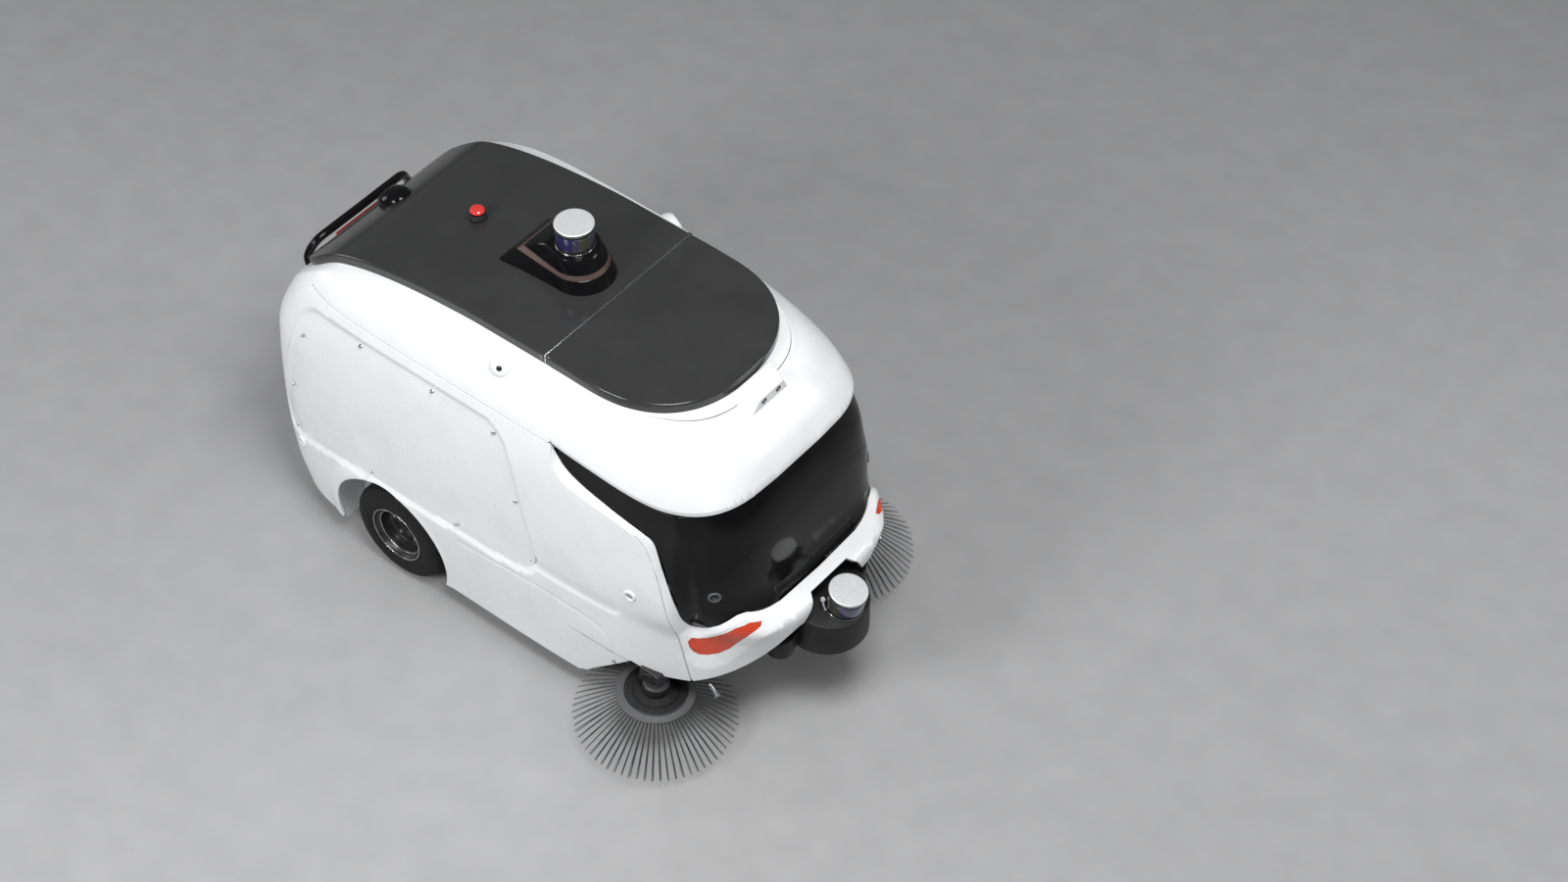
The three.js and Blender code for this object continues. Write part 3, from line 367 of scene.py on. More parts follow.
def tube(path, radius, sides=20):
    """A round tube along a smoothed path, with rounded ends."""
    path = smooth_curve(path, 10)
    tangents = unit(np.gradient(path, axis=0))
    side = unit(np.cross(tangents[0], (0, 0, 1) if abs(tangents[0][2]) < 0.9 else (1, 0, 0)))
    turn = np.linspace(0, 2 * math.pi, sides, endpoint=False)
    rings = []
    for centre, tangent in zip(path, tangents):
        side = unit(side - tangent * np.dot(side, tangent))
        up = np.cross(tangent, side)
        rings.append(centre + radius * (np.outer(np.cos(turn), side) + np.outer(np.sin(turn), up)))
    ends = []
    for end, way in ((0, -1), (-1, 1)):
        centre = path[end]
        ends.append([centre + (rings[end] - centre) * share + way * tangents[end] * radius * height
                     for share, height in ((0.9, 0.25), (0.6, 0.45), (0.15, 0.5))])
    return stack([*ends[0][::-1], *rings, *ends[1]])


def smooth_curve(points, steps):
    """Catmull-Rom curve through points."""
    points = np.asarray(points, float)
    padded = np.concatenate([[2 * points[0] - points[1]], points, [2 * points[-1] - points[-2]]])
    out = []
    for a, b, c, d in zip(padded, padded[1:], padded[2:], padded[3:]):
        for t in np.arange(steps) / steps:
            out.append(0.5 * (2 * b + (c - a) * t + (2 * a - 5 * b + 4 * c - d) * t ** 2
                              + (3 * b - a - 3 * c + d) * t ** 3))
    return np.array([*out, points[-1]])


def oriented(points, faces):
    """Turns a closed mesh's faces outwards."""
    points = np.asarray(points, float)
    volume = 0.0
    for face in faces:
        for i in range(1, len(face) - 1):
            volume += np.dot(points[face[0]], np.cross(points[face[i]], points[face[i + 1]]))
    return faces if volume > 0 else [face[::-1] for face in faces]


def hull_of(points):
    """Faces of the convex hull around a few points, facing outwards."""
    shape = bmesh.new()
    for point in points:
        shape.verts.new(point)
    bmesh.ops.convex_hull(shape, input=shape.verts)
    bmesh.ops.dissolve_limit(shape, angle_limit=0.02, verts=shape.verts, edges=shape.edges)
    bmesh.ops.recalc_face_normals(shape, faces=shape.faces)
    shape.verts.index_update()
    out = [tuple(v.co) for v in shape.verts], [[v.index for v in f.verts] for f in shape.faces]
    shape.free()
    return out


def softened_edges(piece, width, segments=3):
    """A bevel that follows the piece's own edges, in mm."""
    bevel = piece.modifiers.new("edges", "BEVEL")
    bevel.width = width / 1000
    bevel.segments = segments
    bevel.limit_method = "ANGLE"
    bevel.angle_limit = math.radians(28)
    bevel.harden_normals = True


def ellipsoid(centre, radii, tilt=0.0):
    """Points and faces of an ellipsoid tilted about Y."""
    rings = []
    turn = np.linspace(0, 2 * math.pi, 48, endpoint=False)
    for lift in np.linspace(-math.pi / 2 + 0.04, math.pi / 2 - 0.04, 24):
        across = np.cos(lift)
        ring = [across * np.cos(turn), across * np.sin(turn), np.full(len(turn), math.sin(lift))]
        rings.append(np.stack(ring, 1) * radii)
    points, faces = stack(rings)
    c, s = math.cos(tilt), math.sin(tilt)
    x, y, z = points.T
    return np.stack([x * c + z * s, y, z * c - x * s], 1) + np.asarray(centre, float), faces


def thick_sheet(flat, triangles, where, counts, y0, y1):
    """A flat sheet in the side view plane between two y positions, with closed edges."""
    count = len(flat)
    points = [(p[0], y, p[1]) for y in (y0, y1) for p in flat]
    faces = [list(t) for t in triangles] + [[i + count for i in t][::-1] for t in triangles]
    start = 0
    for number in counts:
        ids = where[start:start + number]
        start += number
        for a, b in zip(ids, np.roll(ids, -1)):
            faces.append([a, b, b + count, a + count])
    return np.array(points), consistent(points, faces)


def consistent(points, faces):
    """Turns the faces of a closed mesh that all share edges the same way round, outwards."""
    shape = bmesh.new()
    verts = [shape.verts.new(p) for p in points]
    for face in faces:
        shape.faces.new([verts[i] for i in face])
    bmesh.ops.recalc_face_normals(shape, faces=shape.faces)
    shape.verts.index_update()
    out = [[v.index for v in f.verts] for f in shape.faces]
    shape.free()
    return out


# ---- body surface -----------------------------------------------------------------------------


def station_curve(*stations):
    """A smooth curve through (position, value) stations, flat at its local extremes."""
    place, value = np.array(stations, float).T
    slope = np.diff(value) / np.diff(place)
    before, after = slope[:-1], slope[1:]
    total = np.where(before + after == 0, 1, before + after)
    inner = np.where(before * after <= 0, 0, 2 * before * after / total)
    tangent = np.concatenate([slope[:1], inner, slope[-1:]])

    def curve(position):
        p = np.clip(position, place[0], place[-1])
        i = np.clip(np.searchsorted(place, p, side="right") - 1, 0, len(place) - 2)
        span = place[i + 1] - place[i]
        t = (p - place[i]) / span
        ends = (2 * t ** 3 - 3 * t ** 2 + 1) * value[i] + (3 * t ** 2 - 2 * t ** 3) * value[i + 1]
        leave = (t ** 3 - 2 * t ** 2 + t) * span * tangent[i]
        return ends + leave + (t ** 3 - t ** 2) * span * tangent[i + 1]
    return curve


WIDEST = -155.0
REAR_SQUARENESS = 5.5
ROOF_DROP = 29.3          # from the roof's top face to the body's upper edge
SKIRT_BOTTOM = 66.0
UNROLL = 850.0            # mm of panel per radian of plan angle
nose_x = station_curve((60, 700), (330, 763), (430, 785), (520, 743), (590, 731), (690, 712), (760, 698),
                       (832, 668), (890, 638), (930, 610), (974, 574), (1012, 526), (1040, 502))
tail_x = station_curve((60, -850), (180, -885), (380, -895), (630, -885), (780, -822), (880, -745),
                       (960, -635), (1040, -355))
half_width = station_curve((60, 403), (330, 416), (530, 414), (730, 402), (880, 375), (960, 342),
                           (1010, 308), (1040, 286))
nose_squareness = station_curve((60, 4.0), (380, 3.4), (530, 4.6), (690, 4.4), (832, 4.4), (930, 3.9),
                                (1000, 3.2), (1040, 2.8))
roof_top = station_curve((-950, 640), (-860, 745), (-800, 812), (-748, 867), (-613, 962), (-430, 1012),
                         (-265, 1034), (-131, 1043), (85, 1045), (225, 1043), (520, 1034), (700, 1020))


def plain_surface(turn, z):
    """Point of the plain body at a plan angle (0 at the nose, pi at the tail) and a height, right side."""
    c, s = np.cos(turn), np.sin(turn)
    ahead = c > 0
    length = np.where(ahead, nose_x(z) - WIDEST, WIDEST - tail_x(z))
    power = np.where(ahead, nose_squareness(z), REAR_SQUARENESS)
    reach = (np.abs(c / length) ** power + np.abs(s / half_width(z)) ** power) ** (-1 / power)
    return np.stack([WIDEST + reach * c, -reach * s, z], -1)


def surface_normal(surface, u, v, du, dv):
    """Outward direction of a surface from small steps along it."""
    along = surface(u + du, v) - surface(u - du, v)
    up = surface(u, v + dv) - surface(u, v - dv)
    return unit(np.cross(up, along))


def body_surface(relief):
    """Body surface in unrolled coordinates (mm along, height), raised along its normal by a relief.

    The relief takes rows of side-view places (x, z) and gives a height in mm for each.
    """
    def plain(u, z):
        return plain_surface(u / UNROLL, z)

    def surface(u, z):
        base = plain(u, z)
        height = relief(np.stack([np.ravel(base[..., 0]), np.ravel(z)], -1)).reshape(np.shape(z))
        return base + surface_normal(plain, u, z, 0.2, 0.2) * height[..., None]
    return surface


def half_breadth(x, z, power):
    """Half the plain body's width at a side-view place."""
    length = np.where(x > WIDEST, nose_x(z) - WIDEST, WIDEST - tail_x(z))
    share = np.clip(np.abs(x - WIDEST) / length, 0, 1)
    return half_width(z) * (1 - share ** power) ** (1 / power)


def unrolled(points):
    """Side-view points (x, z) as unrolled coordinates; points past nose or tail go past the centre line."""
    x, z = np.asarray(points, float).T
    nose, tail = nose_x(z), tail_x(z)
    power = np.where(x > WIDEST, nose_squareness(z), REAR_SQUARENESS)
    turn = np.arctan2(half_breadth(x, z, power), x - WIDEST)
    turn = np.where(x > nose, -(x - nose) / 500, np.where(x < tail, math.pi + (tail - x) / 500, turn))
    return np.stack([turn * UNROLL, z], -1)


def unrolled_end(points, at_nose):
    """Front-view points (y, z) at the nose or the tail as unrolled coordinates."""
    y, z = np.abs(np.asarray(points, float)).T
    length = nose_x(z) - WIDEST if at_nose else tail_x(z) - WIDEST
    power = nose_squareness(z) if at_nose else REAR_SQUARENESS
    x = length * (1 - (y / half_width(z)) ** power) ** (1 / power)
    return np.stack([np.arctan2(y, x) * UNROLL, z], -1)


def resampled(points, step):
    """Adds points along a line so that none are further apart than a step."""
    points = np.asarray(points, float)
    out = []
    for a, b in zip(points, points[1:]):
        count = max(1, int(math.ceil(np.linalg.norm(b - a) / step)))
        out.extend(a + (b - a) * t for t in np.arange(count) / count)
    return np.array([*out, points[-1]])


def softened(points, rounds=2):
    """Cuts the corners of an open line, keeping its ends."""
    points = np.asarray(points, float)
    for _ in range(rounds):
        a, b = points[:-1], points[1:]
        cut = np.stack([0.75 * a + 0.25 * b, 0.25 * a + 0.75 * b], 1).reshape(-1, 2)
        points = np.concatenate([points[:1], cut[1:-1], points[-1:]])
    return points


def closed_line(loop):
    """A closed loop's points with the first one repeated at the end."""
    return np.concatenate([loop, loop[:1]])


def softened_loop(points, rounds=2):
    """Cuts the corners of a closed loop."""
    points = np.asarray(points, float)
    for _ in range(rounds):
        after = np.roll(points, -1, 0)
        points = np.stack([0.75 * points + 0.25 * after, 0.25 * points + 0.75 * after], 1).reshape(-1, 2)
    return points


def side_line(points, soft=2):
    """A side-view line on the body, resampled and cut off at the centre lines."""
    line = unrolled(resampled(softened(points, soft), LINE_STEP))
    low, high = 0.0, math.pi * UNROLL
    out = []
    for a, b in zip(line, line[1:]):
        if low <= a[0] <= high:
            out.append(a)
        for edge in (low, high):
            if (a[0] - edge) * (b[0] - edge) < 0:
                out.append(a + (b - a) * (edge - a[0]) / (b[0] - a[0]))
    if low <= line[-1][0] <= high:
        out.append(line[-1])
    return np.array(out)


def top_edge(u0, u1, step=8.0):
    """The body's upper edge under the roof, between two unrolled positions."""
    u = np.linspace(u0, u1, max(3, int(abs(u1 - u0) / step)))
    z = np.full_like(u, 1000.0)
    for _ in range(60):
        z = 0.6 * z + 0.4 * (roof_top(plain_surface(u / UNROLL, z)[..., 0]) - ROOF_DROP)
    return np.stack([u, z], -1)


def line_distance(points, line):
    """Distance of points from a line of straight pieces, and their side of it (positive on the left)."""
    best = np.full(len(points), 1e9)
    sign = np.zeros(len(points))
    for a, b in zip(line, line[1:]):
        d = b - a
        t = np.clip(((points - a) @ d) / max(d @ d, 1e-12), 0, 1)
        gap = points - (a + t[:, None] * d)
        distance = np.linalg.norm(gap, axis=1)
        closer = distance < best
        best = np.where(closer, distance, best)
        sign = np.where(closer, np.sign(d[0] * gap[:, 1] - d[1] * gap[:, 0]), sign)
    return best, sign


def inside(points, loop):
    """Even-odd test of points against a closed loop."""
    x, y = points.T
    hit = np.zeros(len(points), bool)
    for (x0, y0), (x1, y1) in zip(loop, np.roll(loop, -1, 0)):
        crosses = (y0 > y) != (y1 > y)
        slope = (x1 - x0) / (y1 - y0) if y1 != y0 else 0.0
        hit ^= crosses & (x < x0 + slope * (y - y0))
    return hit


def moved_inwards(loop, distance, centre):
    """Moves a closed loop's points inwards; points on a centre line stay on it."""
    before, after = loop - np.roll(loop, 1, 0), np.roll(loop, -1, 0) - loop
    area = np.sum(loop[:, 0] * np.roll(loop[:, 1], -1) - loop[:, 1] * np.roll(loop[:, 0], -1))
    way = 1.0 if area > 0 else -1.0
    na = unit(np.stack([-before[:, 1], before[:, 0]], 1)) * way
    nb = unit(np.stack([-after[:, 1], after[:, 0]], 1)) * way
    na = np.where((centre & np.roll(centre, 1))[:, None], nb, na)
    nb = np.where((centre & np.roll(centre, -1))[:, None], na, nb)
    middle = unit(na + nb)
    reach = 1 / np.maximum(np.sum(middle * na, 1), 0.5)
    step = middle * (reach * distance)[:, None]
    along = np.where(np.abs(middle[:, 1]) > 0.2, distance / np.where(middle[:, 1] == 0, 1, middle[:, 1]), 0)
    step = np.where(centre[:, None], np.stack([np.zeros(len(loop)), np.clip(along, -4, 4)], 1), step)
    return loop + step, -middle


def triangulated(loops, spacing, extra):
    """Triangles over the region between closed loops, with a regular grid of points inside."""
    everything = np.concatenate(loops)
    low, high = everything.min(0), everything.max(0)
    columns = np.arange(low[0], high[0], spacing)
    rows = np.arange(low[1], high[1], spacing * 0.9)
    grid = np.array([(x + (spacing / 2 if k % 2 else 0), y) for k, y in enumerate(rows) for x in columns])
    if len(extra):
        away = np.ones(len(grid), bool)
        for line in extra:
            away &= line_distance(grid, line)[0] > spacing * 0.55
        grid = np.concatenate([grid[away], *extra])
    keep = np.logical_xor.reduce([inside(grid, loop) for loop in loops])
    grid = grid[keep]
    for loop in loops:
        grid = grid[line_distance(grid, closed_line(loop))[0] > spacing * 0.42]
    edges, start = [], 0
    for loop in loops:
        count = len(loop)
        edges.extend((start + i, start + (i + 1) % count) for i in range(count))
        start += count
    points = np.concatenate([everything, grid])
    result = delaunay_2d_cdt([Vector(p) for p in points], edges, [], 0, 1e-5)
    out = np.array([tuple(v) for v in result[0]])
    faces = np.array([f for f in result[2] if len(f) == 3])
    centres = out[faces].mean(1)
    faces = faces[np.logical_xor.reduce([inside(centres, loop) for loop in loops])]
    where = np.full(len(points), -1)
    for new, old in enumerate(result[3]):
        where[old] = new
    return out, faces, where


def rolled_edge(surface, line, out, radius, centre, base, normal, thickness):
    """Rings of points and normals that turn from a panel's face down to its back along one outline."""
    ahead = line + out * 0.5
    way = surface(ahead[:, 0], ahead[:, 1]) - base
    run = unit(np.roll(base, -1, 0) - np.roll(base, 1, 0))
    run = np.where((centre & np.roll(centre, -1))[:, None], unit(base - np.roll(base, 1, 0)), run)
    run = np.where((centre & np.roll(centre, 1))[:, None], unit(np.roll(base, -1, 0) - base), run)
    side = unit(np.cross(run, normal))
    side *= np.where(np.sum(side * way, 1) < 0, -1.0, 1.0)[:, None]
    for bend, at_back in ((30, False), (60, False), (90, False), (90, True)):
        angle = math.radians(bend)
        drop = thickness if at_back else radius * (1 - math.cos(angle))
        ring = base + side * (radius * math.sin(angle))[:, None] - normal * drop[:, None]
        ring[centre, 1] = 0.0
        yield ring, unit(normal * math.cos(angle) + side * math.sin(angle))


def joined_halves(points, normals, faces, joined):
    """Half a panel with its mirror image, which share the joined points on the centre line."""
    points[joined, 1] = 0.0
    normals[joined, 1] = 0.0
    normals = unit(normals)
    other = np.arange(len(points)) + len(points)
    other[joined] = joined
    faces = faces + [[int(other[i]) for i in face][::-1] for face in faces]
    points = np.concatenate([points, points * MIRROR])
    normals = np.concatenate([normals, normals * MIRROR])
    return used_only(points, normals, faces)


def panel(name, surface, loops, material, body=ROOT, depth=8.0, spacing=9.0, step=(0.2, 0.2), extra=(),
          symmetric=False, both=False, outward=1.0, replaces=None, slot=None):
    """A moulded panel with rounded edges over a region of a surface.

    loops are (points, edge radius, on centre line) rows of closed lines, the outer one first. A symmetric
    panel covers half and is mirrored across y = 0; both makes a right and a left piece.
    """
    inner, outs = zip(*(moved_inwards(*loop) for loop in loops))
    flat, triangles, where = triangulated(inner, spacing, list(extra))
    top = surface(flat[:, 0], flat[:, 1])
    normal = surface_normal(surface, flat[:, 0], flat[:, 1], *step) * outward
    thickness = depth(normal) if callable(depth) else np.full(len(top), float(depth))
    points, normals = [top, top - normal * thickness[:, None]], [normal, -normal]
    back = len(top)
    faces = [list(t) for t in triangles] + [[back + i for i in t] for t in triangles]
    joined = set()
    count, offset = 2 * back, 0
    for line, out, (_, radius, centre) in zip(inner, outs, loops):
        ids = where[offset:offset + len(line)]
        offset += len(line)
        rings = [ids]
        edge = rolled_edge(surface, line, out, radius, centre, top[ids], normal[ids], thickness[ids])
        for ring, looks in edge:
            points.append(ring)
            normals.append(looks)
            rings.append(np.arange(count, count + len(line)))
            count += len(line)
        rings.append(ids + back)
        for a, b in zip(rings, rings[1:]):
            for i in range(len(line)):
                j = (i + 1) % len(line)
                if not (centre[i] and centre[j]):
                    faces.append([a[i], a[j], b[j], b[i]])
        for ring in rings:
            joined.update(np.asarray(ring)[centre].tolist())
    points, normals = np.concatenate(points), np.concatenate(normals)
    faces = facing(points, normals, faces)
    if both:
        for label, side in SIDES:
            flip = MIRROR if side > 0 else 1
            add_mesh(f"{name}_{label}", points * flip, [f[::-1] for f in faces] if side > 0 else faces,
                     material, body, normals=normals * flip, slot=slot, replaces=[f"{replaces}_{label}"])
        return
    if symmetric:
        points, normals, faces = joined_halves(points, normals, faces, np.array(sorted(joined)))
    add_mesh(name, points, faces, material, body, normals=normals, slot=slot, replaces=[replaces])


def facing(points, normals, faces):
    """Turns each face so that it looks the way its points' normals do."""
    out = []
    for face in faces:
        face = list(dict.fromkeys(int(i) for i in face))
        if len(face) < 3:
            continue
        corner = points[face]
        look = np.cross(corner[1] - corner[0], corner[2] - corner[0])
        if len(face) == 4:
            look = look + np.cross(corner[2] - corner[0], corner[3] - corner[0])
        out.append(face[::-1] if look @ normals[face].sum(0) < 0 else face)
    return out


def used_only(points, normals, faces):
    """Leaves out the points that no face uses."""
    used = np.zeros(len(points), bool)
    for face in faces:
        used[face] = True
    new = np.cumsum(used) - 1
    return points[used], normals[used], [[int(new[i]) for i in face] for face in faces]


def on_centre(points):
    """True for unrolled points on the centre line of the nose or the tail."""
    return (np.abs(points[..., 0]) < 1e-6) | (np.abs(points[..., 0] - math.pi * UNROLL) < 1e-6)


def row(points, radius):
    """A loop row with one edge radius; points on a centre line are marked."""
    points = np.asarray(points, float)
    keep = np.linalg.norm(points - np.roll(points, 1, 0), axis=1) > 0.3
    points = points[keep]
    filled = []
    for here, after in zip(points, np.roll(points, -1, 0)):
        along_centre = on_centre(here) and on_centre(after)
        filled.extend(resampled([here, after], 8.0)[:-1] if along_centre else [here])
    points = np.array(filled)
    return points, np.full(len(points), float(radius)), on_centre(points)


def inset(loop_row, distance):
    """A loop row moved inwards, or outwards if the distance is negative, with its edge radius kept."""
    points, radii, centre = loop_row
    moved, _ = moved_inwards(points, np.full(len(points), float(distance)), centre)
    return moved, radii, centre


# ---- outlines in side view --------------------------------------------------------------------
HOOD_SEAM = [(85, 1060), (85, 1045), (102, 1022), (126, 980), (142, 939), (178, 864)]
WINDOW_TOP = [(178, 864), (230, 857), (300, 850), (441, 828), (520, 820), (600, 824), (660, 832),
              (720, 838), (900, 840)]
WINDOW_FOOT = [(178, 864), (196, 834), (222, 808), (274, 788), (365, 765), (452, 738), (482, 726),
               (500, 708), (512, 676), (564, 525), (578, 448), (590, 416), (612, 413), (650, 441),
               (690, 490), (714, 512), (740, 498), (760, 491), (900, 490)]
LIP_SIDE = [(178, 864), (182, 840), (188, 815), (206, 787), (245, 771), (367, 750), (467, 720),
            (508, 641), (544, 503)]
LIP_CREASE = [*LIP_SIDE, (573, 299), (588, 190)]
LIP_FRONT = [(556, 440), (566, 404), (588, 394), (616, 396), (656, 430), (697, 480), (716, 498),
             (742, 483), (762, 476), (900, 475)]
BAND_FRONT = [(556, 400), (566, 326), (592, 288), (620, 280), (668, 312), (720, 396), (752, 438),
              (775, 448), (900, 448)]
REAR_SEAM = [(-675, 866), (-694, 805), (-754, 632), (-807, 474), (-829, 393), (-829, 300),
             (-829, SKIRT_BOTTOM)]
LIGHT_OUTLINE = [(578, 388), (586, 346), (612, 328), (664, 354), (720, 438), (754, 475), (718, 488),
                 (664, 426), (618, 390)]
PANEL_OUTLINE = [(-790, 430), (-731, 616), (-702, 723), (-680, 775), (-650, 800), (-600, 811), (-49, 817),
                 (-10, 805), (24, 772), (54, 677), (84, 555), (122, 430), (118, 395), (71, 357), (-240, 347),
                 (-603, 335), (-796, 283), (-818, 330)]
BUMPER_FOOT = [(774, 392), (743, 340), (696, 292), (637, 248), (587, 221)]
SKIRT_FRONT = [(587, 221), (518, 211), (465, 212), (423, 222), (290, 98), (272, 78), (246, SKIRT_BOTTOM)]
NOTCH = [(0, 466), (72, 466), (92, 441), (118, 392)]
HATCH = [(0, 560), (255, 560), (285, 530), (285, 150), (255, 120), (0, 120)]
ARCH = {"x": -412, "z": 128, "radius": 198}
BAND_TOP = [(-760, 330), (-620, 400), (-420, 424), (-60, 430), (150, 437), (300, 441), (385, 436), (406, 402)]
BAND_FOOT = [(-560, 392), (-420, 400), (-200, 392), (100, 385), (300, 382), (385, 378), (406, 402)]
SKIRT_LINE = [(-150, 306), (102, 329), (232, 327), (325, 311), (360, 282), (373, 209), (372, 170)]
FLAP_LINE = [(215, 244), (300, 236), (423, 221)]

RECESS = 9.0              # of the side panels below the side body
RECESS_SLOPE = 20.0
MOULDING = 6.0            # depth of the rub band's lower slope
LIP_DEPTH = 15.0
BAND_DEPTH = 18.0
CORNER_CREASE = 4.0
PLATE_TOP = 518           # of the plate at the windshield's foot
PLATE_FOOT = 459
corner_x = station_curve((400, 640), (560, 618), (700, 585), (830, 540))
panel_loop = softened_loop(PANEL_OUTLINE)
band_top = softened(BAND_TOP)
band_foot = softened(BAND_FOOT)
skirt_line = softened(SKIRT_LINE)
flap_line = softened(FLAP_LINE)
foot_line = softened(WINDOW_FOOT)
brow_line = softened(WINDOW_TOP)
lip_ridge = np.array(LIP_SIDE + LIP_FRONT)
band_ridge = np.array(LIP_SIDE + BAND_FRONT)
ABOVE_FRONT = [(900, 900), (178, 900)]      # closes a ridge line to the region over it
lip_region = np.array([*lip_ridge, *ABOVE_FRONT])
band_region = np.array([*band_ridge, *ABOVE_FRONT])


def bell(distance, width):
    return np.exp(-(distance / width) ** 2)


def rise(value, start, end):
    """0 before start, 1 after end, and a smooth step between them."""
    t = np.clip((value - start) / (end - start), 0, 1)
    return t * t * (3 - 2 * t)


def side_relief(at):
    """Recess around the large panel, the rub band, the skirt lines and the flare round the wheel."""
    x = at[:, 0]
    gap, _ = line_distance(at, closed_line(panel_loop))
    height = -RECESS * (1 - np.clip((gap - 1.0) / RECESS_SLOPE, 0, 1))
    top, above = line_distance(at, band_top)
    foot, over = line_distance(at, band_foot)
    between = (above < 0) & (over > 0) & (x < 404)
    height += np.where(between, -MOULDING * rise(top, 0.2, 3.5) * rise(foot, 0.0, 18.0), 0.0)
    height -= bell(line_distance(at, skirt_line)[0], 2.2)
    flap, under = line_distance(at, flap_line)
    height += np.where(under < 0, -2.5 * rise(x, 205, 260) * rise(flap, 0, 5) * (flap < 170), 0.0)
    ring = np.hypot(x - ARCH["x"], at[:, 1] - ARCH["z"]) - ARCH["radius"]
    behind = rise(-x, 440, 560)
    flare = 7.0 * (1 - rise(ring, 6.0, 52.0)) * behind
    return height + flare + 2.0 * (1 - rise(ring, 4.0, 22.0)) * (1 - behind)


def panel_relief(at):
    return np.full(len(at), -RECESS)


def no_relief(at):
    return np.zeros(len(at))


def band_depth(at):
    """How far the band under the lip leans in at its top."""
    return BAND_DEPTH * rise(at[:, 0], 545, 600)


def bumper_relief(at):
    """Two slopes lean in towards the windshield, a band and a lip; below them the face is plain."""
    outer, _ = line_distance(at, band_ridge)
    middle, _ = line_distance(at, lip_ridge)
    inner, _ = line_distance(at, foot_line)
    band = -band_depth(at) * outer / np.maximum(outer + middle, 1e-6)
    lip = -band_depth(at) - LIP_DEPTH * middle / np.maximum(middle + inner, 1e-6)
    return np.where(inside(at, lip_region), lip, np.where(inside(at, band_region), band, 0.0))


def lens_relief(at):
    """The light strips lie a little below the bumper."""
    return bumper_relief(at) - 0.4


def window_relief(at):
    """The windshield sits back behind the lip, with a crease at each corner and a plate at its foot."""
    x, z = at.T
    plate = box_share(x, 560, 2000, 30) * box_share(z, PLATE_FOOT, PLATE_TOP, 2.5)
    foot, _ = line_distance(at, foot_line)
    back = -LIP_DEPTH - band_depth(at) - 1 + 24.0 * rise(foot, 0, 220)
    crease = CORNER_CREASE * np.exp(-np.abs(x - corner_x(z)) / 26.0)
    return back + crease - 3.0 * plate * plate_mask(x, z)


def box_share(value, low, high, soft):
    """1 between two limits and 0 outside them, with soft edges."""
    return rise(value, low - soft, low + soft) * (1 - rise(value, high - soft, high + soft))


def plate_mask(x, z):
    """1 on the central plate area at the foot of the windshield, 0 outside it."""
    return 1 - rise(half_breadth(x, z, nose_squareness(z)), 150, 156)


def hood_relief(at):
    """A rolled return along the windshield."""
    edge, _ = line_distance(at, brow_line)
    return -6.0 * (1 - np.clip(edge / 14.0, 0, 1))


def near_lines(line, gaps, soft=0):
    """Unrolled copies of a side-view line at several distances, so that a crease gets enough points."""
    line = resampled(softened(line, soft), LINE_STEP)
    run = np.gradient(line, axis=0)
    across = unit(np.stack([-run[:, 1], run[:, 0]], 1))
    return [unrolled(line + across * gap) for gap in gaps]


# ---- body panels ------------------------------------------------------------------------------


def skin(name, relief, loops, material=WHITE, slot="white_panel", **options):
    """A panel of the body surface."""
    panel(name, body_surface(relief), loops, material, slot=slot, **options)


def arch_line():
    """The wheel arch in side view, from the front of the skirt over the wheel to its rear."""
    half = math.degrees(math.asin((ARCH["z"] - SKIRT_BOTTOM) / ARCH["radius"]))
    return [(ARCH["x"] + ARCH["radius"] * math.cos(turn),
             max(ARCH["z"] + ARCH["radius"] * math.sin(turn), SKIRT_BOTTOM))
            for turn in np.radians(np.arange(-half, 180 + half + 1, 2.5))]


